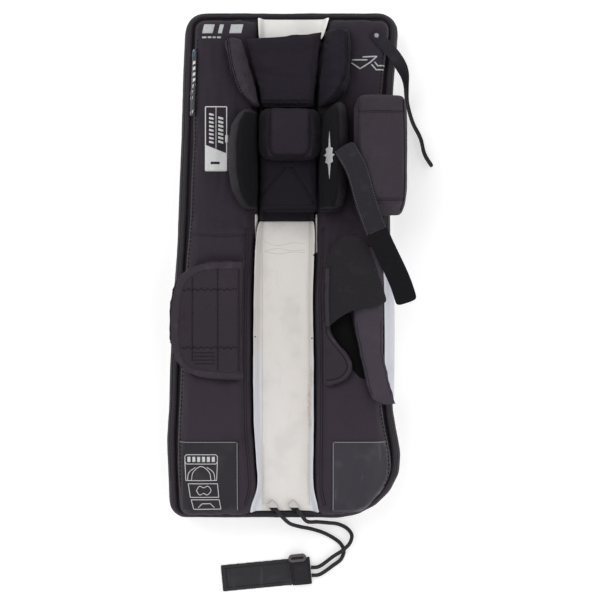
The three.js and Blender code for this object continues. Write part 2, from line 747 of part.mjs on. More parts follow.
// A list's value at a share of its length, on straight lines between its entries
function listAt(list, share) {
  const i = Math.min(Math.floor(share * (list.length - 1)), list.length - 2);
  return lerp(list[i], list[i + 1], share * (list.length - 1) - i);
}

// A sheet laid on a riser, between rows along it and points round its section
function laidOnRiser(side, rows, section, thickness) {
  const off = DRAPE_GAP + thickness / 2;
  const places = section.map(({ point }) => point);
  const surface = (u, v) => offRiser(side, listAt(rows, v), listAt(places, u), off);
  return sheet(rows.length - 1, places.length - 1, thickness, surface);
}

// The risers' places between two others, with those two
function rowsBetween(from, to) {
  const inside = RISER_PLACES.filter((y) => y > from + LEAST_STEP && y < to - LEAST_STEP);
  return [from, ...inside, to];
}

// The channel's lining between two places along the pad: down one riser's side, across the floor and up the
// other's
function lining(name, from, to, material) {
  const off = DRAPE_GAP + LINER_THICKNESS / 2;
  const rows = rowsBetween(from, to);
  const surface = (u, v) => {
    const y = listAt(rows, v);
    const wall = (side) => [1, 0.5, 0.12].map((round) => offRiser(side, y, round, off));
    const foot = (side) => {
      const x = riserPoint(side, y, 0).x - side.sign * (off + FLOOR_FILLET);
      return new THREE.Vector3(x, y, RISER_BASE + LINER_THICKNESS / 2);
    };
    const [outer, medial] = [SIDES.outer, SIDES.medial].map((side) => [...wall(side), foot(side)]);
    const line = [...outer, ...medial.reverse()];
    const i = Math.min(Math.floor(u * (line.length - 1)), line.length - 2);
    return line[i].lerp(line[i + 1], u * (line.length - 1) - i);
  };
  return piece(name, sheet(rows.length - 1, 7, LINER_THICKNESS, surface), material);
}

// A raised wing: from an inner foot line outwards, resting on the riser's crown
function wing(name, side, rows, material, { start, length, reach, rise, foot, shear = 0 }) {
  const rings = rows.map((row) => {
    const y = start + row.along * length;
    const base = crownZ(y) + DRAPE_GAP;
    return WING_SECTION.map((p) => {
      const x = foot(row.along) + side.sign * lerp(row.foot, row.reach, p.reach) * reach;
      return new THREE.Vector3(x, y + shear * row.along * x, base + p.rise * row.rise * rise);
    });
  });
  return piece(name, throughLoops(rings), material);
}

const CRADLE_TOE_Y = TOP_Y - CRADLE_FROM_TOP - CRADLE_LENGTH;

function cradleFloor() {
  const [from, to] = [CRADLE_TOE_Y, THIGH_FOOT_Y - SEAT_GAP];
  const [left, right] = [-CRADLE_OUTER + SEAT_GAP, CRADLE_MEDIAL - SEAT_GAP];
  const surface = (u, v) => {
    const y = lerp(from, to, v);
    return new THREE.Vector3(lerp(left, right, u), y, crownZ(y) + DRAPE_GAP + CRADLE_FLOOR_DEPTH / 2);
  };
  return piece("cradle_floor", sheet(6, 4, CRADLE_FLOOR_DEPTH, surface), MATERIALS.cradleNylon);
}

function cradleWing(name, side, rows, width) {
  return wing(name, side, rows, MATERIALS.cradleNylon, {
    start: CRADLE_TOE_Y,
    length: CRADLE_LENGTH,
    reach: WING_REACH,
    rise: WING_RISE,
    foot: () => side.sign * width,
  });
}

const THIGH_FOOT_Y = TOP_Y - THIGH_FROM_TOP - THIGH_LENGTH;
const THIGH_SLANT = 0.08;

// The thigh panel's edge on a side, at a share of its length from the foot up
function thighEdge(side, share) {
  const [foot, top] =
    side === SIDES.outer ? [THIGH_FOOT_OUTER, THIGH_TOP_OUTER] : [THIGH_FOOT_MEDIAL, THIGH_TOP_MEDIAL];
  return side.sign * lerp(foot, top, share);
}

function thighPanel() {
  const surface = (u, v) => {
    const x = lerp(thighEdge(SIDES.outer, v) + SEAT_GAP, thighEdge(SIDES.medial, v) - SEAT_GAP, u);
    const y = THIGH_FOOT_Y + v * THIGH_LENGTH;
    return new THREE.Vector3(x, y + THIGH_SLANT * v * x, crownZ(y) + DRAPE_GAP + THIGH_PANEL_DEPTH / 2);
  };
  return piece("thigh_panel", sheet(8, 5, THIGH_PANEL_DEPTH, surface), MATERIALS.cradleNylon);
}

function thighWing(name, side, rows, reach) {
  return wing(name, side, rows, MATERIALS.padNylon, {
    start: THIGH_FOOT_Y,
    length: THIGH_LENGTH,
    reach,
    rise: THIGH_WING_RISE,
    foot: (share) => thighEdge(side, share) + side.sign * SEAT_GAP,
    shear: THIGH_SLANT,
  });
}

// A loop round a rectangle with round corners, centred on the origin
function roundedLoop(width, length, radius, z) {
  const [x, y] = [width / 2 - radius, length / 2 - radius];
  const shape = new THREE.Shape();
  shape.absarc(x, y, radius, 0, Math.PI / 2);
  shape.absarc(-x, y, radius, Math.PI / 2, Math.PI);
  shape.absarc(-x, -y, radius, Math.PI, 1.5 * Math.PI);
  shape.absarc(x, -y, radius, 1.5 * Math.PI, 2 * Math.PI);
  const points = shape.getPoints(4);
  if (points[0].distanceTo(points.at(-1)) < 1e-6) points.pop();
  return points.map((p) => new THREE.Vector3(p.x, p.y, z));
}

// The cushion at the foot of the thigh flap, lying in the cradle
function kneeTongue() {
  const loops = TONGUE_LEVELS.map(({ rise, inset }) => {
    const off = inset * TONGUE_SLOPE;
    const radius = Math.max(TONGUE_CORNER - off, 3);
    return roundedLoop(TONGUE_WIDTH - 2 * off, TONGUE_LENGTH - off, radius, rise * TONGUE_DEPTH);
  });
  const mesh = piece("knee_tongue", throughLoops(loops), MATERIALS.kneeNylon);
  const y = THIGH_FOOT_Y - SEAT_GAP - TONGUE_LENGTH / 2;
  const floorTop = crownZ(y) + DRAPE_GAP + CRADLE_FLOOR_DEPTH;
  mesh.position.set((CRADLE_MEDIAL - CRADLE_OUTER) / 2, y, floorTop + SEAT_GAP);
  return mesh;
}

// The knee block: its toe face slopes, so each level is shorter than the one below
function kneeBlock() {
  const innerX = CRADLE_MEDIAL + WING_REACH + BLOCK_CLEARANCE;
  const middleY = TOP_Y - BLOCK_FROM_TOP - BLOCK_LENGTH / 2;
  const width = edgeX(SIDES.medial, middleY) + BLOCK_OVERHANG - innerX;
  const loops = BLOCK_LEVELS.map(({ rise, inset }) => {
    const off = inset * BLOCK_EDGE_ROUND;
    const slope = rise * BLOCK_TOE_SLOPE;
    const radius = Math.max(BLOCK_CORNER - off, 3);
    const loop = roundedLoop(width - 2 * off, BLOCK_LENGTH - 2 * off - slope, radius, rise * BLOCK_DEPTH);
    return loop.map((p) => p.add(new THREE.Vector3(0, slope / 2, 0)));
  });
  const mesh = piece("knee_block", throughLoops(loops), MATERIALS.kneeNylon);
  mesh.position.set(innerX + width / 2, middleY, crownZ(middleY) + DRAPE_GAP);
  return mesh;
}

// A place on a square, moved on to a rounder outline with the same reach along its axes
function rounded(u, v, power) {
  const reach = Math.max(Math.abs(u), Math.abs(v));
  const round = (Math.abs(u) ** power + Math.abs(v) ** power) ** (1 / power);
  return round ? [(u * reach) / round, (v * reach) / round] : [0, 0];
}

// Height that a stiff flap on a riser is at, drooping a little past the riser's shoulder
function flapZ(side, x, y, thickness) {
  const past = Math.max(side.sign * (x - riserEdgeX(side, y, RISER_SHOULDER)) / FLAP_SPAN, 0);
  return crownZ(y) + DRAPE_GAP + thickness / 2 - FLAP_DROOP * past ** 2;
}

function outerCalfFlap() {
  const surface = (u, v) => {
    const [across, along] = rounded(u, 2 * v - 1, 3);
    const y = -OUTER_FLAP_CENTRE + (along * OUTER_FLAP_LENGTH) / 2;
    const x = riserChannelX(SIDES.outer, y) - FLAP_HINGE_INSET - across * OUTER_FLAP_REACH;
    return new THREE.Vector3(x, y, flapZ(SIDES.outer, x, y, FLAP_THICKNESS));
  };
  return piece("calf_flap_outer", sheet(...OUTER_FLAP_STEPS, FLAP_THICKNESS, surface), MATERIALS.flapNylon);
}

function medialFlapHinge(y) {
  return riserChannelX(SIDES.medial, y) + FLAP_HINGE_INSET;
}

function medialCalfFlap() {
  const surface = (u, v) => {
    const y = -MEDIAL_FLAP_FROM_CENTRE - (1 - v) * MEDIAL_FLAP_LENGTH;
    const reach = MEDIAL_FLAP_REACH * straightAt(MEDIAL_FLAP_EDGE, "along", "reach", v);
    const x = medialFlapHinge(y) + reach * u;
    return new THREE.Vector3(x, y, flapZ(SIDES.medial, x, y, FLAP_THICKNESS));
  };
  return piece("calf_flap_medial", sheet(...MEDIAL_FLAP_STEPS, FLAP_THICKNESS, surface), MATERIALS.flapNylon);
}

// The padded strip that runs down the medial riser from under the elastic band
function medialCalfStrip() {
  const inner = medialFlapHinge(-MEDIAL_FLAP_FROM_CENTRE) + MEDIAL_FLAP_REACH - CALF_STRIP_TUCK;
  const surface = (u, v) => {
    const y = CALF_STRIP_TOP - (1 - v) * CALF_STRIP_LENGTH;
    const width = CALF_STRIP_WIDTH * smoothAt(CALF_STRIP_BREADTH, "along", "share", v);
    const x = inner + CALF_STRIP_SKEW * (1 - v) ** 2 + width * u;
    return new THREE.Vector3(x, y, flapZ(SIDES.medial, x, y, CALF_STRIP_THICKNESS));
  };
  const geometry = sheet(...CALF_STRIP_STEPS, CALF_STRIP_THICKNESS, surface);
  return piece("calf_strip_medial", geometry, MATERIALS.flapNylon);
}

// The wide elastic band, bulging over the flap and the strip
function elasticBand(supports) {
  const [rows, columns] = ELASTIC_STEPS;
  const hinge = medialFlapHinge(-MEDIAL_FLAP_FROM_CENTRE);
  const outline = (u, v) => {
    const [upper, lower] = ["upper", "lower"].map((edge) => smoothAt(ELASTIC_PLAN, "across", edge, u));
    const y = -MEDIAL_FLAP_FROM_CENTRE + ELASTIC_WIDTH * lerp(lower, upper, v);
    return new THREE.Vector3(hinge + 1 + u * lerp(ELASTIC_REACH, ELASTIC_UPPER_REACH, v), y, 0);
  };
  const lines = Array.from({ length: rows + 1 }, (_, j) => {
    const places = Array.from({ length: columns + 1 }, (_, i) =>
      [-0.5, 0, 0.5].map((step) => outline(i / columns, clamp((j + step) / rows, 0, 1))),
    );
    return tautHeights(supports, places, ELASTIC_TAIL_DROP);
  });
  const surface = (u, v) => {
    const i = Math.min(Math.floor(u * columns), columns - 1);
    const j = Math.min(Math.floor(v * rows), rows - 1);
    const across = [j, j + 1].map((row) => lerp(lines[row][i], lines[row][i + 1], u * columns - i));
    const lift = DRAPE_GAP + ELASTIC_THICKNESS / 2 + 4 * ELASTIC_HUMP * u * (1 - u);
    return outline(u, v).setZ(lerp(across[0], across[1], v * rows - j) + lift);
  };
  return piece("elastic_band", sheet(rows, columns, ELASTIC_THICKNESS, surface), MATERIALS.elastic);
}

// The wide strap: sewn on the cradle's medial wing, over the knee block's corner and the elastic band, with
// its free end past the edge
function kneeStrap(block, supports) {
  const start = new THREE.Vector2(CRADLE_MEDIAL + 0.78 * WING_REACH, CRADLE_TOE_Y + 0.6 * CRADLE_LENGTH);
  const blockToe = new THREE.Vector2(block.position.x, block.position.y - BLOCK_LENGTH / 2);
  const course = KNEE_STRAP_PLAN.map(({ across, past }) =>
    blockToe.clone().add(new THREE.Vector2(across, -past).multiplyScalar(KNEE_STRAP_WIDTH)),
  );
  const leaving = start.clone().add(new THREE.Vector2(0.57, -1).multiplyScalar(KNEE_STRAP_WIDTH));
  const plan = new THREE.SplineCurve([start, leaving, ...course]);
  const [steps, columns] = KNEE_STRAP_STEPS;
  const sideAt = (share) => {
    const tangent = plan.getTangentAt(clamp(share, 0.001, 0.999));
    return new THREE.Vector3(-tangent.y, tangent.x, 0);
  };
  const at = (share, across) => {
    const p = plan.getPointAt(clamp(share, 0, 1));
    return new THREE.Vector3(p.x, p.y, 0).addScaledVector(sideAt(share), across * KNEE_STRAP_WIDTH);
  };
  const places = Array.from({ length: steps + 1 }, (_, i) =>
    [-0.5, -0.35, -0.18, 0, 0.18, 0.35, 0.5].map((across) => at(i / steps, across)),
  );
  const lift = STRAP_GAP + KNEE_STRAP_THICKNESS / 2;
  const heights = tautHeights(supports, places, KNEE_STRAP_TAIL_DROP);
  const surface = (u, v) => {
    const i = Math.min(Math.floor(v * steps), steps - 1);
    return at(v, u - 0.5).setZ(lerp(heights[i], heights[i + 1], v * steps - i) + lift);
  };
  return piece("knee_strap", sheet(steps, columns, KNEE_STRAP_THICKNESS, surface), MATERIALS.webbing);
}

// The thin strap: flat on the medial riser, then turned on edge as it drops past the side to the floor
function thighStrap() {
  const top = crownZ(TOP_Y - THIGH_STRAP_FROM_TOP) + DRAPE_GAP + THIGH_STRAP_THICKNESS / 2;
  const floor = THIGH_STRAP_WIDTH / 2 + DRAPE_GAP;
  const side = edgeX(SIDES.medial, TOP_Y - THIGH_STRAP_FROM_TOP);
  const path = new THREE.CatmullRomCurve3(
    THIGH_STRAP_COURSE.map(({ out, down, height }) => {
      const [x, y] = [side + out * THIGH_STRAP_WIDTH, TOP_Y - down * THIGH_STRAP_WIDTH];
      return new THREE.Vector3(x, y, lerp(floor, top, height));
    }),
  );
  const surface = (u, v) => {
    const tangent = path.getTangent(v);
    const flat = new THREE.Vector3(-tangent.y, tangent.x, 0).normalize();
    const turn = THIGH_STRAP_TURN * THREE.MathUtils.smoothstep(v, 0.2, 0.5);
    const across = flat.applyAxisAngle(tangent, turn);
    return path.getPoint(v).addScaledVector(across, (u - 0.5) * THIGH_STRAP_WIDTH);
  };
  return piece("thigh_strap", sheet(...THIGH_STRAP_STEPS, THIGH_STRAP_THICKNESS, surface), MATERIALS.webbing);
}

function strapRivet(strap) {
  const y = TOP_Y - THIGH_STRAP_FROM_TOP;
  const x = edgeX(SIDES.medial, y) - RIVET_FROM_EDGE;
  const geometry = new THREE.CylinderGeometry(0.7 * RIVET_RADIUS, RIVET_RADIUS, RIVET_HEIGHT, 14);
  const mesh = piece("strap_rivet", geometry.rotateX(Math.PI / 2), MATERIALS.rivetMetal);
  mesh.position.set(x, y, heightOver([strap], x, y, RISER_BASE) + SEAT_GAP + RIVET_HEIGHT / 2);
  return mesh;
}

// A leather patch on the toe end of a riser, from the crown to the outer shoulder
function bootPatch(name, side) {
  const toe = TOE_Y + RISER_END_INSET;
  const rows = rowsBetween(toe + PATCH_TOE_MARGIN, toe + PATCH_LENGTH);
  return piece(name, laidOnRiser(side, rows, PATCH_SECTION, PATCH_THICKNESS), MATERIALS.bootLeather);
}

// The white panel on the core's medial side
function medialGusset() {
  const off = DRAPE_GAP + GUSSET_THICKNESS / 2;
  const path = (y) => {
    const at = (inset, z) => new THREE.Vector3(edgeX(SIDES.medial, y, inset), y, z);
    const side = CORE_LEVELS.slice(1, -2).map(({ rise, inset }) =>
      at(inset * CORE_SHOULDER - off, CORE_BASE + rise * CORE_DEPTH),
    );
    const [middle, reach] = [CORE_TOP + SEAT_GAP + BEAD_RADIUS, BEAD_RADIUS + off];
    const overBead = [0.7, 0].map((cosine) =>
      at(BEAD_INSET - reach * cosine, middle + reach * Math.sqrt(1 - cosine ** 2)),
    );
    const upRiser = GUSSET_RISER_ROWS.map((row) => offRiser(SIDES.medial, y, row, off));
    return [...side, ...overBead, ...upRiser];
  };
  const columns = path(-GUSSET_TOE_END).length - 1;
  const surface = (u, v) => {
    const points = path(-GUSSET_TOE_END + v * GUSSET_LENGTH);
    const i = Math.min(Math.floor(u * columns), columns - 1);
    return points[i].clone().lerp(points[i + 1], u * columns - i);
  };
  return piece("gusset_medial", sheet(12, columns, GUSSET_THICKNESS, surface), MATERIALS.whiteLeather);
}

// A ribbon tag on the outer riser's shoulder
function ribbonTag() {
  const top = TOP_Y - TAG_FROM_TOP;
  const rows = rowsBetween(top - TAG_LENGTH, top);
  const geometry = laidOnRiser(SIDES.outer, rows, TAG_SECTION, TAG_THICKNESS);
  return piece("ribbon_tag", geometry, MATERIALS.tagRibbon);
}

const ANCHOR_Z = RISER_BASE + LINER_THICKNESS + SEAT_GAP;
const ANCHOR_FACE_Y = TOE_Y + RISER_END_INSET + (ANCHOR_WIDTH / 2) * Math.sin(ANCHOR_TURN);

// A flat section, [across, height], with its two upper corners cut off
function cutCorners(width, height, cut) {
  const half = width / 2;
  return [
    [-half, 0],
    [half, 0],
    [half, height - cut],
    [half - cut, height],
    [cut - half, height],
    [-half, height - cut],
  ];
}

// A short webbing tunnel on the toe end of the lining, which a strand of the cord comes out of
function toeAnchor(name, x) {
  const section = cutCorners(ANCHOR_WIDTH, ANCHOR_HEIGHT, WEBBING_EDGE);
  const rings = [0, ANCHOR_LENGTH].map((y) =>
    section.map(([across, z]) => new THREE.Vector3(across, y, z)),
  );
  const mesh = piece(name, throughLoops(rings), MATERIALS.webbing);
  mesh.position.set(x, ANCHOR_FACE_Y, ANCHOR_Z);
  mesh.rotation.z = ANCHOR_TURN;
  return mesh;
}

const UP = new THREE.Vector3(0, 0, 1);
const SLEEVE_END = new THREE.Vector3(TOE_SLEEVE_X, TOE_Y - TOE_SLEEVE_PAST, TOE_SLEEVE_DEPTH / 2);

// A point off the sleeve's end face, by distances out from it and across it
function offSleeve(out, across) {
  return new THREE.Vector3(out, across, 0).applyAxisAngle(UP, STRAP_TURN).add(SLEEVE_END);
}

// Routes of the strands: x, distance past the toe end, and height of the centre
const OUTER_STRAND_ROUTE = [
  [4, 5, 48],
  [17, 11, 34],
  [32, 16, 17],
  [47, 22, 5.5],
  [60, 29, 2.8],
  [69, 36, 2.8],
  [73.5, 45, 2.8],
  [70, 56, 2.8],
  [60, 64, 3.2],
];
const MEDIAL_STRAND_ROUTE = [
  [26, 2.5, 50],
  [40, 5, 36],
  [54, 8, 20],
  [67, 11, 9],
  [78, 17, 6],
  [83.5, 25, 7.5],
  [81, 35, 8.6],
  [72, 44, 9],
  [60, 52, 8.2],
];

// One strand of the toe cord as a tube, square to its anchor at one end and to the sleeve at the other
function strand(name, anchorX, across, route) {
  const face = new THREE.Vector3(anchorX, ANCHOR_FACE_Y, ANCHOR_Z + ANCHOR_HEIGHT / 2);
  const out = new THREE.Vector3(Math.sin(ANCHOR_TURN), -Math.cos(ANCHOR_TURN), 0);
  const start = face.clone().addScaledVector(out, SEAT_GAP);
  const straight = face.clone().addScaledVector(out, 2 * CORD_DIAMETER);
  const points = route.map(([x, past, z]) => new THREE.Vector3(x, TOE_Y - past, z));
  const ends = [offSleeve(SEAT_GAP + 2 * CORD_DIAMETER, across), offSleeve(SEAT_GAP, across)];
  const path = new THREE.CatmullRomCurve3([start, straight, ...points, ...ends], false, "centripetal");
  const section = new THREE.Shape();
  section.absarc(0, 0, CORD_DIAMETER / 2, 0, 2 * Math.PI);
  const geometry = new THREE.ExtrudeGeometry(section, {
    steps: CORD_STEPS,
    curveSegments: CORD_SIDES / 2,
    bevelEnabled: false,
    extrudePath: path,
  });
  return piece(name, geometry, MATERIALS.cordBraid);
}

// The toe strap: a flat tab whose end is folded over into a deeper sleeve
function toeStrap() {
  const rings = TOE_STRAP_PROFILE.map(({ tab, sleeve, deep }) => {
    const x = -tab * (TOE_STRAP_LENGTH - TOE_SLEEVE_LENGTH) - sleeve * TOE_SLEEVE_LENGTH;
    const depth = lerp(TOE_STRAP_THICKNESS, TOE_SLEEVE_DEPTH, deep);
    const section = cutCorners(TOE_STRAP_WIDTH, depth, WEBBING_EDGE);
    return section.map(([y, z]) => new THREE.Vector3(x, y, z));
  });
  const mesh = piece("toe_strap", throughLoops(rings), MATERIALS.bootLeather);
  mesh.position.set(SLEEVE_END.x, SLEEVE_END.y, 0);
  mesh.rotation.z = STRAP_TURN;
  return mesh;
}

// A flat oval hook with a slot, on the sleeve's thigh-side edge
function toeHook() {
  const stadium = (Path, length, width) => {
    const [x, radius] = [(length - width) / 2, width / 2];
    const path = new Path();
    path.absarc(x, 0, radius, -Math.PI / 2, Math.PI / 2);
    path.absarc(-x, 0, radius, Math.PI / 2, 1.5 * Math.PI);
    return path;
  };
  const shape = stadium(THREE.Shape, HOOK_LENGTH, HOOK_WIDTH);
  shape.holes.push(stadium(THREE.Path, HOOK_LENGTH - HOOK_WIDTH + HOOK_SLOT, HOOK_SLOT));
  const geometry = new THREE.ExtrudeGeometry(shape, {
    depth: HOOK_THICKNESS,
    curveSegments: 6,
    bevelEnabled: false,
  });
  const mesh = piece("toe_hook", geometry, MATERIALS.hookPlastic);
  const edge = TOE_STRAP_WIDTH / 2 + HOOK_WIDTH / 8;
  const centre = new THREE.Vector3(-0.6 * TOE_SLEEVE_LENGTH, edge, 0);
  centre.applyAxisAngle(UP, STRAP_TURN).add(SLEEVE_END);
  mesh.position.set(centre.x, centre.y, TOE_SLEEVE_DEPTH + SEAT_GAP);
  mesh.rotation.z = STRAP_TURN;
  return mesh;
}

function group(...members) {
  return new THREE.Group().add(...members);
}

const liningToeY = TOE_Y + RISER_END_INSET + SEAT_GAP;
const whiteTopY = TOP_Y - WHITE_LINER_TOP;
const topPanelY = TOP_Y - RISER_END_INSET - TOP_PANEL_DROP;
const liningTopY = TOP_Y - RISER_END_INSET - SEAT_GAP;

const medialRiser = riser("riser_medial", SIDES.medial);
const cradleMedial = cradleWing("cradle_wing_medial", SIDES.medial, CRADLE_WING_MEDIAL, CRADLE_MEDIAL);
const block = kneeBlock();
const calfFlap = medialCalfFlap();
const calfStrip = medialCalfStrip();
const elastic = elasticBand([medialRiser, calfFlap, calfStrip]);
const thinStrap = thighStrap();

const body = group(
  frontFace(),
  core(),
  backBead(),
  riser("riser_outer", SIDES.outer),
  medialRiser,
  medialGusset(),
  ribbonTag(),
  bootPatch("boot_patch_outer", SIDES.outer),
  bootPatch("boot_patch_medial", SIDES.medial),
);
const channel = group(
  lining("channel_lining", liningToeY, whiteTopY, MATERIALS.channelLining),
  lining("knee_lining", whiteTopY + SEAT_GAP, topPanelY, MATERIALS.bodyNylon),
  lining("top_panel", topPanelY + SEAT_GAP, liningTopY, MATERIALS.channelLining),
);
const knee = group(
  cradleFloor(),
  cradleWing("cradle_wing_outer", SIDES.outer, CRADLE_WING_OUTER, CRADLE_OUTER),
  cradleMedial,
  kneeTongue(),
  block,
);
const thigh = group(
  thighPanel(),
  thighWing("thigh_wing_outer", SIDES.outer, THIGH_WING_OUTER, THIGH_OUTER_REACH),
  thighWing("thigh_wing_medial", SIDES.medial, THIGH_WING_MEDIAL, THIGH_MEDIAL_REACH),
);
const calf = group(outerCalfFlap(), calfFlap, calfStrip, elastic);
const straps = group(
  kneeStrap(block, [medialRiser, cradleMedial, block, calfStrip, elastic]),
  thinStrap,
  strapRivet(thinStrap),
);
const toe = group(
  toeAnchor("toe_anchor_outer", -ANCHOR_SPACING / 2),
  toeAnchor("toe_anchor_medial", ANCHOR_SPACING / 2),
  strand("cord_outer", -ANCHOR_SPACING / 2, -6.5, OUTER_STRAND_ROUTE),
  strand("cord_medial", ANCHOR_SPACING / 2, 3.5, MEDIAL_STRAND_ROUTE),
  toeStrap(),
  toeHook(),
);

export default group(body, channel, knee, thigh, calf, straps, toe);
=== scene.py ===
"""An ice hockey goalie's leg pad, lying face down with its leg side up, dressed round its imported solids."""

import json
import logging
import math
from collections.abc import Callable, Sequence
from dataclasses import dataclass, field
from enum import Enum
from functools import partial

import bmesh
import bpy
import numpy as np
from mathutils import Matrix, Vector, noise
from mathutils.bvhtree import BVHTree

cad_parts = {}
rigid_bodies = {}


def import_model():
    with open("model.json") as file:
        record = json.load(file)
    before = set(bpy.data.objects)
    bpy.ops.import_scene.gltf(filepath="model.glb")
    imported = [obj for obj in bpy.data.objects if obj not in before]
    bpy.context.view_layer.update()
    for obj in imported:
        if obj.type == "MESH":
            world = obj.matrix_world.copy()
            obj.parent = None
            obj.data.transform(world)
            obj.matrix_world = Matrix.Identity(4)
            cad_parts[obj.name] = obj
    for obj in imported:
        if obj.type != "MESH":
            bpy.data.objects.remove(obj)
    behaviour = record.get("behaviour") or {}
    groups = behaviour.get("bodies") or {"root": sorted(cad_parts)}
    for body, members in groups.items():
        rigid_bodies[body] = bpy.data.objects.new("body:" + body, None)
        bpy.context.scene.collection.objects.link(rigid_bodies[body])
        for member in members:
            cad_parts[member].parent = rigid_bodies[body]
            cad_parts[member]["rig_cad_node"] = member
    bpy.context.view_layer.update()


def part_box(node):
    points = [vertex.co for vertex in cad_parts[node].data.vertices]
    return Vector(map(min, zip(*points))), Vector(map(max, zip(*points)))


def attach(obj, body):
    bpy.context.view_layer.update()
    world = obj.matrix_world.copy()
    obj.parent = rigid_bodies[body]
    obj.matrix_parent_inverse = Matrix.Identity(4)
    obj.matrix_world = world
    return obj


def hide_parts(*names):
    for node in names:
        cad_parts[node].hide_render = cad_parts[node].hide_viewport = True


MM = 0.001
BODY = "root"
SKY = 0.5
WING_RIM = 11.5
BEAD_INSET = 4.2
Point2 = tuple[float, float]
Point3 = tuple[float, float, float]
Line2 = Sequence[Point2]
Colour = tuple[float, float, float]
Piece = bpy.types.Object
Socket = bpy.types.NodeSocket
Material = bpy.types.Material
Moves = tuple[np.ndarray | float, np.ndarray | float]
log = logging.getLogger("leg_pad")


def srgb(red: float, green: float, blue: float) -> Colour:
    """The linear colour of one that is given from 0 to 255 as a screen shows it."""
    shares = (channel / 255 for channel in (red, green, blue))
    return tuple(c / 12.92 if c <= 0.04045 else ((c + 0.055) / 1.055) ** 2.4 for c in shares)


class Amount:
    """A number in a shader's maths, held by a socket, that takes part in Python expressions."""

    def __init__(self, shader: "Shader", socket: Socket) -> None:
        """Keeps the shader that the nodes are added to, and the socket with the number."""
        self.shader = shader
        self.socket = socket

    def math(self, operation: str, *others: "Amount | float") -> "Amount":
        """Adds one Math node.

        Args:
            operation: the node's operation.
            others: its inputs after this one.

        Returns:
            The node's result.
        """
        inputs = dict(enumerate((self, *others)))
        return Amount(self.shader, self.shader.node("ShaderNodeMath", {"operation": operation}, inputs).outputs[0])

    def __add__(self, other: "Amount | float") -> "Amount":
        """The sum."""
        return self.math("ADD", other)

    def __radd__(self, other: float) -> "Amount":
        """The sum."""
        return self.math("ADD", other)

    def __sub__(self, other: "Amount | float") -> "Amount":
        """The difference."""
        return self.math("SUBTRACT", other)

    def __rsub__(self, other: float) -> "Amount":
        """The difference, with the number first."""
        return self.shader.constant(other).math("SUBTRACT", self)

    def __mul__(self, other: "Amount | float") -> "Amount":
        """The product."""
        return self.math("MULTIPLY", other)

    def __rmul__(self, other: float) -> "Amount":
        """The product."""
        return self.math("MULTIPLY", other)

    def __truediv__(self, other: "Amount | float") -> "Amount":
        """The quotient."""
        return self.math("DIVIDE", other)

    def __pow__(self, other: float) -> "Amount":
        """The power."""
        return self.math("POWER", other)

    def waves(self) -> "Amount":
        """Even waves between 0 and 1, where this amount is an angle."""
        return self.math("SINE").math("ABSOLUTE")

    def ramp(self, low: float, high: float) -> "Amount":
        """A smooth step.

        Args:
            low: where it is 0.
            high: where it is 1, which may be below low.

        Returns:
            The step.
        """
        if low > high:
            return 1 - self.ramp(high, low)
        settings = {"interpolation_type": "SMOOTHSTEP"}
        node = self.shader.node("ShaderNodeMapRange", settings, {0: self, 1: low, 2: high})
        return Amount(self.shader, node.outputs[0])


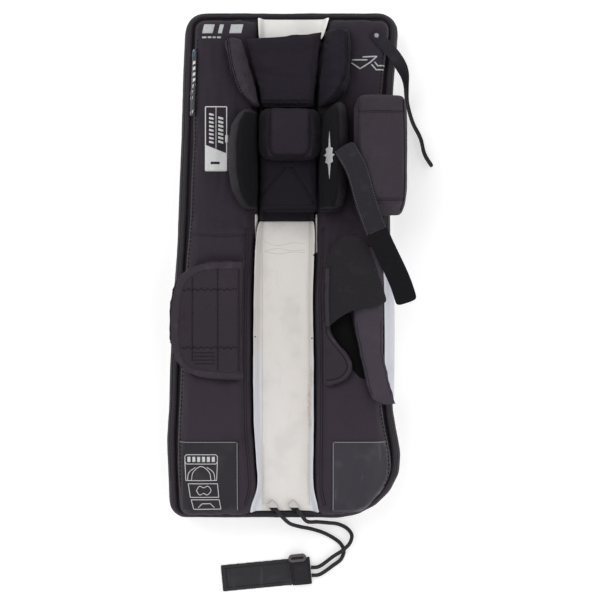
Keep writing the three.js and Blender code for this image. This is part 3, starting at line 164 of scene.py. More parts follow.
class Shader:
    """A material's nodes, and the calls that add to them."""

    def __init__(self, name: str) -> None:
        """Makes a material with one principled shader."""
        self.material = bpy.data.materials.new(name)
        self.material.use_nodes = True
        self.tree = self.material.node_tree
        self.surface = next(n for n in self.tree.nodes if n.type == "BSDF_PRINCIPLED")

    def node(self, kind: str, settings: dict[str, object] | None = None,
             inputs: dict[int | str, object] | None = None) -> bpy.types.Node:
        """Adds a node.

        Args:
            kind: the node's type.
            settings: its properties, set first.
            inputs: values or links by socket name or number.

        Returns:
            The node.
        """
        made = self.tree.nodes.new(kind)
        for key, value in (settings or {}).items():
            setattr(made, key, value)
        for key, value in (inputs or {}).items():
            self.feed(made.inputs[key], value)
        return made

    def feed(self, socket: Socket, value: object) -> None:
        """Links a socket, or sets its value.

        Args:
            socket: the input.
            value: an amount, another socket or a plain value.
        """
        if isinstance(value, Amount):
            value = value.socket
        if isinstance(value, Socket):
            self.tree.links.new(value, socket)
        elif isinstance(value, tuple) and socket.type == "RGBA":
            socket.default_value = (*value[:3], 1)
        else:
            socket.default_value = value

    def constant(self, number: float) -> Amount:
        """A number as an amount."""
        node = self.node("ShaderNodeValue")
        node.outputs[0].default_value = number
        return Amount(self, node.outputs[0])

    def place(self) -> Socket:
        """The point on the piece, in metres in the part's frame."""
        return self.node("ShaderNodeTexCoord").outputs["Object"]

    def run(self) -> Socket:
        """The place on a strip, in metres across and along it."""
        return self.node("ShaderNodeAttribute", {"attribute_name": "run"}).outputs["Vector"]

    def parts(self, vector: Socket) -> tuple[Amount, Amount, Amount]:
        """The three numbers of a vector."""
        outputs = self.node("ShaderNodeSeparateXYZ", None, {0: vector}).outputs
        return tuple(Amount(self, outputs[i]) for i in range(3))

    def noise(self, vector: Socket, size: float, detail: float = 2, lean: Point3 = (1, 1, 1)) -> Amount:
        """Soft noise.

        Args:
            vector: where it is read.
            size: the size of its patches, in metres.
            detail: how many finer layers it has.
            lean: how much it is squeezed along each axis.

        Returns:
            The noise, from about 0.3 to 0.7.
        """
        squeezed = self.node("ShaderNodeVectorMath", {"operation": "MULTIPLY"}, {0: vector, 1: lean}).outputs[0]
        inputs = {"Vector": squeezed, "Scale": 1 / size, "Detail": detail}
        return Amount(self, self.node("ShaderNodeTexNoise", None, inputs).outputs[0])

    def cells(self, vector: Socket, size: float) -> Amount:
        """The distance from the middle of the nearest grain, as a share of the grains' size."""
        inputs = {"Vector": vector, "Scale": 1 / size}
        return Amount(self, self.node("ShaderNodeTexVoronoi", None, inputs).outputs["Distance"])

    def blend(self, share: Amount | float, low: object, high: object) -> Socket:
        """A colour between two others."""
        inputs = {0: share, 6: low, 7: high}
        return self.node("ShaderNodeMix", {"data_type": "RGBA"}, inputs).outputs[2]

    def bump(self, height: Amount, depth: float) -> Socket:
        """The normal of a surface that rises by depth, in metres, where height is 1."""
        return self.node("ShaderNodeBump", None, {"Height": height, "Distance": depth, "Strength": 1.0}).outputs[0]

    def finish(self, colour: object, roughness: object, normal: object = None,
               **constants: object) -> Material:
        """Connects the surface.

        Args:
            colour: the base colour, a value or a socket.
            roughness: the roughness, a number or an amount.
            normal: the bumped normal.
            constants: other sockets by name, with _ for a space, each a plain value.

        Returns:
            The material.
        """
        self.feed(self.surface.inputs["Base Color"], colour)
        self.feed(self.surface.inputs["Roughness"], roughness)
        if normal is not None:
            self.feed(self.surface.inputs["Normal"], normal)
        for name, value in constants.items():
            self.feed(self.surface.inputs[name.replace("_", " ")], value)
        return self.material


@dataclass(frozen=True)
class Nylon:
    """A woven nylon cover: a fine weave, a soft sheen, and colour that drifts a little with use."""

    name: str
    colour: Colour
    toe_colour: Colour | None = None
    weave: float = 0.9 * MM
    depth: float = 0.12 * MM
    roughness: float = 0.72
    rim_colour: Colour | None = None

    def material(self) -> Material:
        """Builds the material.

        Returns:
            The material.
        """
        shader = Shader(self.name)
        place = shader.place()
        x, y, z = shader.parts(place)
        turn = 2 * math.pi / self.weave
        threads = (x * turn + z * turn).math("SINE") * (y * turn + z * turn).math("SINE")
        wear = shader.noise(place, 38 * MM, 4)
        fleck = shader.noise(place, 1.6 * MM, 3)
        base = shader.blend(y.ramp(0.05, -0.28), self.colour, self.toe_colour or self.colour)
        # The 'rim' attribute blends in the rim colour: a lighter rim band on the cradle wings, and painted shade on
        # the tongue's slopes.
        if self.rim_colour is not None:
            rim = shader.node("ShaderNodeAttribute", {"attribute_name": "rim"}).outputs["Fac"]
            base = shader.blend(Amount(shader, rim), base, self.rim_colour)
        light = tuple(min(1, c * 1.45) for c in self.colour)
        dark = tuple(c * 0.62 for c in self.colour)
        base = shader.blend(wear.ramp(0.5, 0.78) * 0.5, base, light)
        base = shader.blend(wear.ramp(0.46, 0.2) * 0.5, base, dark)
        base = shader.blend(fleck.ramp(0.52, 0.7) * 0.45, base, light)
        height = threads * 0.35 + fleck * 0.9
        rough = self.roughness + wear * 0.2 - fleck * 0.1
        return shader.finish(base, rough, shader.bump(height, self.depth), Sheen_Weight=0.02,
                             Sheen_Roughness=0.5, Specular_IOR_Level=0.17)


@dataclass(frozen=True)
class Leather:
    """A smooth synthetic leather: pebbled grain, scuffs and a soft gloss."""

    name: str
    colour: Colour
    grain: float = 1.3 * MM
    depth: float = 0.1 * MM
    roughness: float = 0.42
    scuff: Colour | None = None

    def material(self) -> Material:
        """Builds the material.

        Returns:
            The material.
        """
        shader = Shader(self.name)
        place = shader.place()
        pebbles = shader.cells(place, self.grain)
        wear = shader.noise(place, 30 * MM, 5)
        scratches = shader.noise(place, 9 * MM, 5, (1, 0.18, 1))
        worn = self.scuff or tuple(min(1, c * 1.6) for c in self.colour)
        base = shader.blend(wear.ramp(0.5, 0.75) * 0.4, self.colour, worn)
        base = shader.blend(scratches.ramp(0.62, 0.7) * 0.35, base, worn)
        base = shader.blend(pebbles.ramp(0.5, 0.15) * 0.12, base, tuple(c * 0.6 for c in self.colour))
        rough = self.roughness + wear * 0.22 - 0.1
        normal = shader.bump(pebbles + scratches * 0.6, self.depth)
        return shader.finish(base, rough, normal, Specular_IOR_Level=0.25)


@dataclass(frozen=True)
class ChannelSkin:
    """The white synthetic leather of the leg channel: fine grain, greyed by the boot, with a few brown rubs."""

    name: str
    colour: Colour
    grey: Colour
    flank: Colour
    rub: Colour
    rubs: tuple[tuple[float, float, float, float], ...]

    def material(self) -> Material:
        """Builds the material.

        Returns:
            The material.
        """
        shader = Shader(self.name)
        place = shader.place()
        x, y, z = shader.parts(place)
        grain = shader.cells(place, 1.5 * MM)
        cloud = shader.noise(place, 34 * MM, 4)
        streak = shader.noise(place, 8 * MM, 4, (1, 0.2, 1))
        fine = shader.noise(place, 4 * MM, 3)
        base = shader.blend(cloud.ramp(0.45, 0.72) * 0.5, self.colour, self.grey)
        base = shader.blend(streak.ramp(0.58, 0.72) * 0.3, base, self.grey)
        flank = x.ramp(-29.5 * MM, -31.5 * MM) + x.ramp(29.8 * MM, 31.8 * MM)
        base = shader.blend(flank * y.ramp(-80 * MM, -150 * MM) * 0.8, base, self.flank)
        stain = shader.constant(0)
        for across, along, wide, high in self.rubs:
            near_x = ((x - across * MM) / (wide * MM)) ** 2
            near_y = ((y - along * MM) / (high * MM)) ** 2
            stain = stain + (near_x + near_y).ramp(1.2, 0)
        base = shader.blend(stain * (0.25 + streak) * fine.ramp(0.3, 0.62), base, self.rub)
        return shader.finish(base, 0.42 + cloud * 0.25, shader.bump(grain + fine * 0.8, 0.09 * MM),
                             Specular_IOR_Level=0.4)


class Weave(Enum):
    """How a strap or band is woven or finished."""

    WEBBING = "webbing"
    HOOK = "hook"
    ELASTIC = "elastic"
    BINDING = "binding"


@dataclass(frozen=True)
class Band:
    """A woven band, with its pattern laid along it."""

    name: str
    colour: Colour
    weave: Weave = Weave.WEBBING
    rib: float = 1.7 * MM
    depth: float = 0.25 * MM
    roughness: float = 0.75

    def pattern(self, shader: Shader) -> Amount:
        """The height of the weave.

        Args:
            shader: the material's nodes.

        Returns:
            The height, from 0 to about 1.
        """
        if self.weave is Weave.HOOK:
            return shader.cells(shader.place(), self.rib).ramp(0.55, 0.1)
        across, along, _ = shader.parts(shader.run())
        turn = math.pi / self.rib
        if self.weave is Weave.ELASTIC:
            return (along * turn).waves() * 0.7 + (across * turn * 0.8).waves() * 0.45
        if self.weave is Weave.WEBBING:
            lean = (across.math("ABSOLUTE") * 1.2 + along) * turn
            return lean.waves() * 0.75 + (across * turn).waves() * 0.25
        return (along * turn).waves() * 0.8 + (across * turn).waves() * 0.2

    def material(self) -> Material:
        """Builds the material.

        Returns:
            The material.
        """
        shader = Shader(self.name)
        place = shader.place()
        height = self.pattern(shader)
        wear = shader.noise(place, 14 * MM, 4)
        fuzz = shader.noise(place, 1.2 * MM, 2)
        light = tuple(min(1, c * 1.7 + 0.003) for c in self.colour)
        dark = tuple(c * 0.5 for c in self.colour)
        base = shader.blend(height.ramp(0.5, 0.05) * 0.7, self.colour, dark)
        base = shader.blend(wear.ramp(0.5, 0.75) * 0.5, base, light)
        base = shader.blend(fuzz.ramp(0.55, 0.75) * 0.5, base, light)
        return shader.finish(base, self.roughness + wear * 0.15, shader.bump(height + fuzz * 0.3, self.depth),
                             Sheen_Weight=0.02, Specular_IOR_Level=0.16)


@dataclass(frozen=True)
class Thread:
    """Twisted sewing thread."""

    name: str
    colour: Colour
    roughness: float = 0.6

    def material(self) -> Material:
        """Builds the material.

        Returns:
            The material.
        """
        shader = Shader(self.name)
        fuzz = shader.noise(shader.place(), 0.7 * MM, 2)
        base = shader.blend(fuzz.ramp(0.4, 0.65), tuple(c * 0.7 for c in self.colour), self.colour)
        return shader.finish(base, self.roughness, shader.bump(fuzz, 0.08 * MM), Specular_IOR_Level=0.2)


@dataclass(frozen=True)
class Print:
    """Ink on cloth, worn through a little where the cloth is raised."""

    name: str
    colour: Colour
    under: Colour
    worn: float = 0.35

    def material(self) -> Material:
        """Builds the material.

        Returns:
            The material.
        """
        shader = Shader(self.name)
        place = shader.place()
        rubbed = shader.noise(place, 2.2 * MM, 4)
        base = shader.blend(rubbed.ramp(0.56, 0.7) * self.worn, self.colour, self.under)
        return shader.finish(base, 0.5 + rubbed * 0.2, shader.bump(rubbed, 0.05 * MM))


@dataclass(frozen=True)
class Moulded:
    """Moulded plastic, or bare metal, with faint scratches."""

    name: str
    colour: Colour
    roughness: float = 0.38
    metallic: float = 0.0

    def material(self) -> Material:
        """Builds the material.

        Returns:
            The material.
        """
        shader = Shader(self.name)
        place = shader.place()
        marks = shader.noise(place, 3 * MM, 5, (1, 0.3, 1))
        light = tuple(min(1, c * 1.4) for c in self.colour)
        base = shader.blend(marks.ramp(0.5, 0.7) * 0.4, self.colour, light)
        rough = self.roughness + marks * 0.2
        return shader.finish(base, rough, shader.bump(marks, 0.04 * MM), Metallic=self.metallic)


@dataclass(frozen=True)
class Finishes:
    """Every finish of the pad, by the slot of the record that it belongs to."""

    body: Nylon = Nylon("body_nylon_weave", srgb(44, 37, 46), srgb(52, 44, 53))
    core: Nylon = Nylon("core_nylon_weave", srgb(51, 47, 53), weave=1.1 * MM)
    lining: Nylon = Nylon("knee_lining_weave", srgb(29, 24, 32), weave=1.1 * MM)
    cradle: Nylon = Nylon("cradle_nylon_weave", srgb(8, 6, 11), None, 0.8 * MM, rim_colour=srgb(39, 36, 41))
    cradle_floor: Nylon = Nylon("cradle_floor_weave", srgb(22, 17, 26), weave=0.8 * MM)
    thigh: Nylon = Nylon("thigh_nylon_weave", srgb(30, 24, 33))
    # The tongue's rim colour is painted shade on its sloping sides.
    tongue: Nylon = Nylon("tongue_nylon_weave", srgb(35, 28, 37), None, rim_colour=srgb(19, 15, 22))
    wing: Nylon = Nylon("wing_nylon_weave", srgb(52, 46, 54))
    wing_medial: Nylon = Nylon("medial_wing_weave", srgb(27, 22, 32))
    block: Nylon = Nylon("block_nylon_weave", srgb(53, 46, 54))
    flap: Nylon = Nylon("flap_nylon_weave", srgb(46, 39, 47))
    strip: Nylon = Nylon("strip_nylon_weave", srgb(61, 54, 64))
    # Near-black loop pile: its colour is partly painted shadow of the gap between the medial flap and the strip.
    shadow_pile: Nylon = Nylon("loop_pile_shadow", srgb(2, 2, 2), None, 2.2 * MM, 0.5 * MM, 0.85)
    face: Leather = Leather("face_leather", srgb(226, 223, 220), 1.6 * MM, 0.08 * MM, 0.36, srgb(190, 188, 188))
    gusset: Leather = Leather("gusset_leather", srgb(203, 204, 213), 1.6 * MM, 0.06 * MM, 0.42, srgb(178, 179, 186))
    boot: Leather = Leather("boot_leather_grain", srgb(38, 35, 41), 1.1 * MM, 0.07 * MM, 0.62, srgb(62, 59, 64))
    boot_medial: Leather = Leather("boot_leather_medial", srgb(50, 47, 54), 1.1 * MM, 0.09 * MM, 0.46,
                                   srgb(82, 79, 84))
    channel: ChannelSkin = ChannelSkin(
        "channel_skin", srgb(221, 217, 213), srgb(203, 200, 197), srgb(219, 222, 232), srgb(190, 172, 150),
        ((29, -168, 3.5, 24), (32, -140, 2.5, 16), (30, -195, 2.5, 12)))
    top_skin: ChannelSkin = ChannelSkin("top_panel_leather", srgb(242, 240, 237), srgb(224, 222, 219),
                                        srgb(242, 240, 237), srgb(206, 200, 192), ())
    bead: Band = Band("bead_binding", srgb(42, 38, 44), Weave.BINDING, 1.4 * MM, 0.2 * MM)
    binding: Band = Band("edge_binding", srgb(42, 37, 44), Weave.BINDING, 1.1 * MM, 0.15 * MM)
    piping: Band = Band("dark_piping", srgb(21, 16, 24), Weave.BINDING, 1.2 * MM, 0.12 * MM)
    flap_binding: Band = Band("flap_binding", srgb(53, 46, 54), Weave.BINDING, 1.2 * MM, 0.15 * MM)
    webbing: Band = Band("strap_webbing", srgb(39, 37, 42), Weave.WEBBING, 1.9 * MM)
    hook: Band = Band("hook_tape", srgb(17, 15, 20), Weave.HOOK, 1.5 * MM, 0.4 * MM)
    elastic: Band = Band("knit_elastic", srgb(33, 31, 35), Weave.ELASTIC, 3.3 * MM, 0.5 * MM)
    toe_webbing: Band = Band("toe_webbing", srgb(44, 42, 45), Weave.BINDING, 1.3 * MM, 0.2 * MM)
    toe_leather: Leather = Leather("toe_strap_leather", srgb(40, 38, 42), 1.2 * MM, 0.1 * MM, 0.5,
                                   srgb(70, 68, 71))
    tunnel: Leather = Leather("tunnel_leather", srgb(192, 189, 188), 1.2 * MM, 0.08 * MM, 0.6, srgb(180, 178, 176))
    cord: Thread = Thread("cord_sheath", srgb(50, 48, 51), 0.7)
    seam: Thread = Thread("dark_thread", srgb(17, 15, 19))
    grey_seam: Thread = Thread("grey_thread", srgb(104, 101, 106))
    white_seam: Thread = Thread("white_thread", srgb(205, 203, 201))
    shade: Thread = Thread("shaded_thread", srgb(203, 201, 199))
    boot_seam: Thread = Thread("boot_thread", srgb(150, 148, 152))
    tack: Thread = Thread("tack_thread", srgb(70, 64, 62))
    ink: Print = Print("white_ink", srgb(176, 177, 178), srgb(60, 55, 62))
    faint_ink: Print = Print("thin_white_ink", srgb(196, 196, 198), srgb(90, 88, 92), 0.5)
    label: Print = Print("label_cloth", srgb(205, 206, 206), srgb(150, 150, 150), 0.3)
    tag_blue: Print = Print("tag_blue_weave", srgb(80, 124, 150), srgb(50, 80, 100))
    tag_dark: Print = Print("tag_dark_weave", srgb(38, 36, 42), srgb(100, 100, 104), 0.4)
    hook_plastic: Moulded = Moulded("toe_hook_plastic", srgb(78, 73, 75), 0.5)
    rivet: Moulded = Moulded("rivet_steel", srgb(150, 150, 155), 0.4, 1.0)


FINISH = Finishes()
Finish = Nylon | Leather | ChannelSkin | Band | Thread | Print | Moulded
_made: dict[str, Material] = {}


def material_of(finish: Finish) -> Material:
    """The material of a finish, which is built once."""
    if finish.name not in _made:
        _made[finish.name] = finish.material()
    return _made[finish.name]


def dress(obj: Piece, finish: Finish) -> Piece:
    """Gives a piece one finish all over, and shades it smoothly.

    Args:
        obj: the piece.
        finish: its finish.

    Returns:
        The same piece.
    """
    obj.data.materials.clear()
    obj.data.materials.append(material_of(finish))
    obj.data.shade_smooth()
    return obj


def zone(obj: Piece, finish: Finish, inside: Callable[[Vector], bool]) -> None:
    """Gives some of a piece's faces another finish.

    Args:
        obj: the piece.
        finish: the other finish.
        inside: the test that the middles of those faces pass.
    """
    obj.data.materials.append(material_of(finish))
    last = len(obj.data.materials) - 1
    for polygon in obj.data.polygons:
        if inside(polygon.center):
            polygon.material_index = last


def points_of(obj: Piece) -> np.ndarray:
    """The vertices of a mesh, one row each."""
    points = np.empty(len(obj.data.vertices) * 3)
    obj.data.vertices.foreach_get("co", points)
    return points.reshape(-1, 3)


def set_points(obj: Piece, points: np.ndarray) -> None:
    """Moves the vertices of a mesh."""
    obj.data.vertices.foreach_set("co", points.ravel())
    obj.data.update()


def normals_of(obj: Piece) -> np.ndarray:
    """The directions that a mesh's vertices face, one row each."""
    normals = np.empty(len(obj.data.vertices) * 3)
    obj.data.vertex_normals.foreach_get("vector", normals)
    return normals.reshape(-1, 3)


def mesh_piece(name: str, points: Sequence[Sequence[float]], faces: Sequence[Sequence[int]]) -> Piece:
    """A new piece.

    Args:
        name: its name.
        points: its vertices in metres.
        faces: the numbers of each face's vertices.

    Returns:
        The piece, linked to the scene.
    """
    mesh = bpy.data.meshes.new(name)
    mesh.from_pydata([tuple(p) for p in points], [], [tuple(f) for f in faces])
    mesh.validate()
    obj = bpy.data.objects.new(name, mesh)
    bpy.context.scene.collection.objects.link(obj)
    return obj


def from_node(node: str, name: str) -> Piece:
    """A copy of a CAD node's mesh as a new piece, with its split corners joined again.

    Args:
        node: the node's name.
        name: the piece's name.

    Returns:
        The piece, linked to the scene.
    """
    source = bpy.data.objects[node]
    obj = bpy.data.objects.new(name, source.data.copy())
    bpy.context.scene.collection.objects.link(obj)
    joined = bmesh.new()
    joined.from_mesh(obj.data)
    bmesh.ops.remove_doubles(joined, verts=joined.verts, dist=0.02 * MM)
    bmesh.ops.join_triangles(joined, faces=joined.faces, angle_face_threshold=0.5, angle_shape_threshold=0.9)
    bmesh.ops.recalc_face_normals(joined, faces=joined.faces)
    joined.to_mesh(obj.data)
    joined.free()
    return obj


def cut_off(obj: Piece, place: Vector, ahead: Vector) -> None:
    """Cuts a closed piece by a plane, drops what is ahead of it and closes the cut.

    Args:
        obj: the piece.
        place: a point of the plane.
        ahead: the direction that the plane faces.
    """
    cut = bmesh.new()
    cut.from_mesh(obj.data)
    every = cut.verts[:] + cut.edges[:] + cut.faces[:]
    bmesh.ops.bisect_plane(cut, geom=every, plane_co=place, plane_no=ahead, clear_outer=True)
    bmesh.ops.holes_fill(cut, edges=cut.edges)
    bmesh.ops.recalc_face_normals(cut, faces=cut.faces)
    cut.to_mesh(obj.data)
    cut.free()


def settle(obj: Piece) -> Piece:
    """Applies a piece's modifiers to its mesh.

    Args:
        obj: the piece.

    Returns:
        The same piece.
    """
    graph = bpy.context.evaluated_depsgraph_get()
    mesh = bpy.data.meshes.new_from_object(obj.evaluated_get(graph))
    old = obj.data
    obj.modifiers.clear()
    obj.data = mesh
    bpy.data.meshes.remove(old)
    return obj


def remeshed(obj: Piece, voxel: float) -> Piece:
    """Gives a closed piece an even mesh of small squares."""
    modifier = obj.modifiers.new("even", "REMESH")
    modifier.mode = "VOXEL"
    modifier.voxel_size = voxel
    return settle(obj)


def relaxed(obj: Piece, rounds: int) -> Piece:
    """Smooths a piece's mesh, each round by half."""
    modifier = obj.modifiers.new("relax", "SMOOTH")
    modifier.iterations = rounds
    return settle(obj)


def subdivided(obj: Piece, levels: int = 1) -> Piece:
    """Splits every face of a piece in four, levels times, and rounds them."""
    modifier = obj.modifiers.new("finer", "SUBSURF")
    modifier.levels = modifier.render_levels = levels
    return settle(obj)


def tree_of(obj: Piece) -> BVHTree:
    """A search tree over a piece's faces."""
    return BVHTree.FromObject(obj, bpy.context.evaluated_depsgraph_get())


def neighbours_of(nodes: Sequence[str]) -> BVHTree:
    """A search tree over CAD nodes.

    Args:
        nodes: the names of the ones that are left out.

    Returns:
        The tree over all the others.
    """
    points: list[Vector] = []
    faces: list[tuple[int, ...]] = []
    for obj in bpy.data.objects:
        if "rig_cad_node" not in obj or obj["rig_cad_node"] in nodes:
            continue
        first = len(points)
        points.extend(v.co for v in obj.data.vertices)
        faces.extend(tuple(first + i for i in p.vertices) for p in obj.data.polygons)
    return BVHTree.FromPolygons(points, faces)


@dataclass(frozen=True)
class Swell:
    """How a padded piece is blown up by its filling: the cloth simulation's settings."""

    voxel: float = 4 * MM
    shrink: float = 1.2 * MM
    cap: float = 3.5 * MM
    pressure: float = 4.0
    frames: int = 20
    relax: int = 2
    margin: float = 0.25 * MM

    def grow(self, obj: Piece, nodes: Sequence[str]) -> None:
        """Swells a closed piece inside the room that its neighbours leave.

        Args:
            obj: the piece, with the shape of its solid.
            nodes: the CAD nodes that it stands for, which don't hold it back.
        """
        remeshed(obj, self.voxel)
        relaxed(obj, self.relax)
        rest = points_of(obj)
        normals = normals_of(obj)
        set_points(obj, rest - normals * self.shrink)
        self.simulate(obj)
        moved = points_of(obj) - rest
        reach = np.linalg.norm(moved, axis=1)
        around = neighbours_of(nodes)
        room = np.full(len(rest), self.cap)
        for i, point in enumerate(rest):
            found = around.find_nearest(Vector(point), self.cap + self.margin)
            if found[0] is not None:
                room[i] = max(0.0, min(self.cap, found[3] - self.margin))
        outward = (moved * normals).sum(1) > 0
        limit = np.where(outward, room, self.cap)
        scale = np.minimum(1.0, limit / np.maximum(reach, 1e-9))
        set_points(obj, rest + moved * scale[:, None])

    def simulate(self, obj: Piece) -> None:
        """Runs the cloth simulation and keeps its last frame.

        Args:
            obj: the piece.
        """
        scene = bpy.context.scene
        cloth = obj.modifiers.new("swell", "CLOTH")
        settings = {"use_pressure": True, "uniform_pressure_force": self.pressure, "quality": 4, "mass": 0.25,
                    "tension_stiffness": 14, "compression_stiffness": 14, "bending_stiffness": 0.6}
        for name, value in settings.items():
            setattr(cloth.settings, name, value)
        cloth.settings.effector_weights.gravity = 0
        cloth.collision_settings.use_collision = False
        cloth.point_cache.frame_start = 1
        cloth.point_cache.frame_end = self.frames
        for frame in range(1, self.frames + 1):
            scene.frame_set(frame)
        settle(obj)
        scene.frame_set(1)


def distance_to(line: Line2, points: np.ndarray) -> tuple[np.ndarray, np.ndarray]:
    """How far points are, in plan, from a line in millimetres.

    Args:
        line: the line's points.
        points: rows of places in metres.

    Returns:
        Each point's distance from the line, and how far along it the nearest place is, both in metres.
    """
    corners = np.array(line, float) * MM
    best = np.full(len(points), np.inf)
    along = np.zeros(len(points))
    passed = 0.0
    for start, end in zip(corners[:-1], corners[1:]):
        step = end - start
        length = float(np.hypot(*step))
        share = np.clip(((points[:, :2] - start) @ step) / max(length**2, 1e-12), 0, 1)
        gap = np.hypot(*(points[:, :2] - start - share[:, None] * step).T)
        nearer = gap < best
        best = np.where(nearer, gap, best)
        along = np.where(nearer, passed + share * length, along)
        passed += length
    return best, along


def curve2(points: Line2, step: float = 2.0) -> list[Point2]:
    """A smooth line through points in plan, as places about step millimetres apart."""
    return [(p[0], p[1]) for p in curve3([(x, y, 0.0) for x, y in points], False, step)]


def curve3(points: Sequence[Point3], closed: bool = False, step: float = 2.0) -> list[Point3]:
    """A smooth centripetal curve through points, as places about step apart.

    Args:
        points: the places that it passes, in any unit.
        closed: whether it comes back to its start.
        step: the spacing of the result, in the same unit.

    Returns:
        The places along it, with the first again at the end where it is closed.
    """
    given = [np.array(p, float) for p in points]
    count = len(given)
    if closed:
        around = [given[-1], *given, given[0], given[1]]
    else:
        around = [2 * given[0] - given[1], *given, 2 * given[-1] - given[-2]]
    places: list[Point3] = []
    for k in range(count if closed else count - 1):
        a, b, c, d = around[k:k + 4]
        steps = max(1, round(float(np.linalg.norm(c - b)) / step))
        gaps = [max(float(np.linalg.norm(q - p)) ** 0.5, 1e-6) for p, q in ((a, b), (b, c), (c, d))]
        leave = ((b - a) / gaps[0] - (c - a) / (gaps[0] + gaps[1]) + (c - b) / gaps[1]) * gaps[1]
        arrive = ((c - b) / gaps[1] - (d - b) / (gaps[1] + gaps[2]) + (d - c) / gaps[2]) * gaps[1]
        for i in range(steps):
            t = i / steps
            place = ((2 * t**3 - 3 * t**2 + 1) * b + (t**3 - 2 * t**2 + t) * leave
                     + (3 * t**2 - 2 * t**3) * c + (t**3 - t**2) * arrive)
            places.append(tuple(place))
    places.append(places[0] if closed else tuple(given[-1]))
    return places


@dataclass(frozen=True)
class Seam:
    """A sewn line across the upper side of a padded piece, in plan and in millimetres."""

    line: Line2
    depth: float = 1.3
    width: float = 2.0
    pucker: float = 0.25
    above: float = -1.0
    side: float = 0.15

    def press(self, obj: Piece) -> None:
        """Draws the cloth in along the line, with small puckers between the stitches.

        Args:
            obj: the piece.
        """
        points = points_of(obj)
        normals = normals_of(obj)
        gap, along = distance_to(self.line, points)
        width = self.width * MM
        groove = np.exp(-((gap / width) ** 2)) * (1 + self.pucker * np.sin(along / (3.1 * MM) * math.pi))
        ridge = 0.22 * np.exp(-(((gap - 2.6 * width) / (1.2 * width)) ** 2))
        facing = np.clip((normals[:, 2] - self.side) * 4, 0, 1) * (points[:, 2] > self.above * MM)
        set_points(obj, points - normals * ((groove - ridge) * facing * self.depth * MM)[:, None])


def dropped(tree: BVHTree, x: float, y: float, lift: float = 0.0) -> tuple[Vector, Vector] | None:
    """The highest place of a surface under a point in plan.

    Args:
        tree: the surface's search tree.
        x: the point in metres.
        y: the point in metres.
        lift: how far the place is raised off the surface.

    Returns:
        The place and the direction that the surface faces there, or None where there is no surface.
    """
    hit, normal, _, _ = tree.ray_cast(Vector((x, y, SKY)), Vector((0, 0, -1)))
    if hit is None:
        return None
    if normal.z < 0:
        normal = -normal
    return hit + normal * lift, normal


def walk(line: Line2, step: float, start: float) -> list[Point3]:
    """Places at even steps along a line in plan.

    Args:
        line: its points in millimetres.
        step: the spacing in millimetres.
        start: where the first one is.

    Returns:
        Each place's x and y, and the direction of the line there as an angle.
    """
    places = []
    target = start
    passed = 0.0
    for (ax, ay), (bx, by) in zip(line[:-1], line[1:]):
        length = math.hypot(bx - ax, by - ay)
        while length > 0 and target <= passed + length:
            share = (target - passed) / length
            places.append((ax + (bx - ax) * share, ay + (by - ay) * share, math.atan2(by - ay, bx - ax)))
            target += step
        passed += length
    return places


@dataclass
class Stitching:
    """Rows of thread stitches, gathered into one piece."""

    name: str
    finish: Thread
    slot: str
    length: float = 2.3
    spacing: float = 3.2
    radius: float = 0.34
    sink: float = 0.1
    points: list[Vector] = field(default_factory=list)
    faces: list[tuple[int, ...]] = field(default_factory=list)

    def sew(self, tree: BVHTree, line: Line2) -> None:
        """Lays stitches along a line in plan on a surface, pulled into the cloth by sink.

        Args:
            tree: the surface's search tree.
            line: the line in millimetres.
        """
        for x, y, angle in walk(line, self.spacing, 0.5 * self.spacing):
            found = dropped(tree, x * MM, y * MM, (self.radius - self.sink) * MM)
            if found is None:
                continue
            place, normal = found
            along = Vector((math.cos(angle), math.sin(angle), 0))
            along = (along - normal * along.dot(normal)).normalized()
            self.stitch(place, along, normal)

    def stitch(self, place: Vector, along: Vector, normal: Vector) -> None:
        """Adds one stitch: a short, thick thread whose ends dip into the cloth.

        Args:
            place: its middle, in metres.
            along: the way that the thread runs.
            normal: the way that the cloth faces.
        """
        side = normal.cross(along)
        half = self.length / 2 * MM
        first = len(self.points)
        rings = ((-1, 0.35, -0.5), (-0.6, 0.95, 0), (0, 1.1, 0.12), (0.6, 0.95, 0), (1, 0.35, -0.5))
        sides = 6
        for share, thick, rise in rings:
            middle = place + along * (share * half) + normal * (rise * self.radius * MM)
            for i in range(sides):
                turn = 2 * math.pi * i / sides
                off = side * math.cos(turn) + normal * math.sin(turn)
                self.points.append(middle + off * (thick * self.radius * MM))
        for k in range(len(rings) - 1):
            for i in range(sides):
                a, b = first + k * sides + i, first + k * sides + (i + 1) % sides
                self.faces.append((a, b, b + sides, a + sides))
        last = first + (len(rings) - 1) * sides
        self.faces.append(tuple(first + i for i in reversed(range(sides))))
        self.faces.append(tuple(last + i for i in range(sides)))

    def make(self) -> Piece:
        """Makes the piece.

        Returns:
            The piece.
        """
        obj = dress(mesh_piece(self.name, self.points, self.faces), self.finish)
        return placed(obj, self.slot)


def placed(obj: Piece, slot: str, *nodes: str) -> Piece:
    """Fixes a piece to the pad's body and lets it stand for CAD nodes.

    Args:
        obj: the piece.
        slot: its slot in the record; not used.
        nodes: the CAD nodes.

    Returns:
        The same piece.
    """
    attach(obj, BODY)
    if nodes:
        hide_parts(*nodes)
    log.info("%s: %d vertices", obj.name, len(obj.data.vertices))
    return obj


def set_run(obj: Piece, runs: Sequence[Sequence[float]]) -> None:
    """Stores each vertex's place across and along its strip, in metres, for the weaves."""
    attribute = obj.data.attributes.new("run", "FLOAT_VECTOR", "POINT")
    attribute.data.foreach_set("vector", np.array(runs, np.float32).ravel())


def run_in_plan(obj: Piece, angle: float = 90.0) -> None:
    """Stores a run that lies straight across the plan.

    Args:
        obj: the piece.
        angle: the way along it, in degrees.
    """
    points = points_of(obj)
    turn = math.radians(angle)
    along = points[:, 0] * math.cos(turn) + points[:, 1] * math.sin(turn) - 0.4 * points[:, 2]
    across = points[:, 0] * math.sin(turn) - points[:, 1] * math.cos(turn)
    set_run(obj, np.stack([across, along, np.zeros(len(points))], 1))


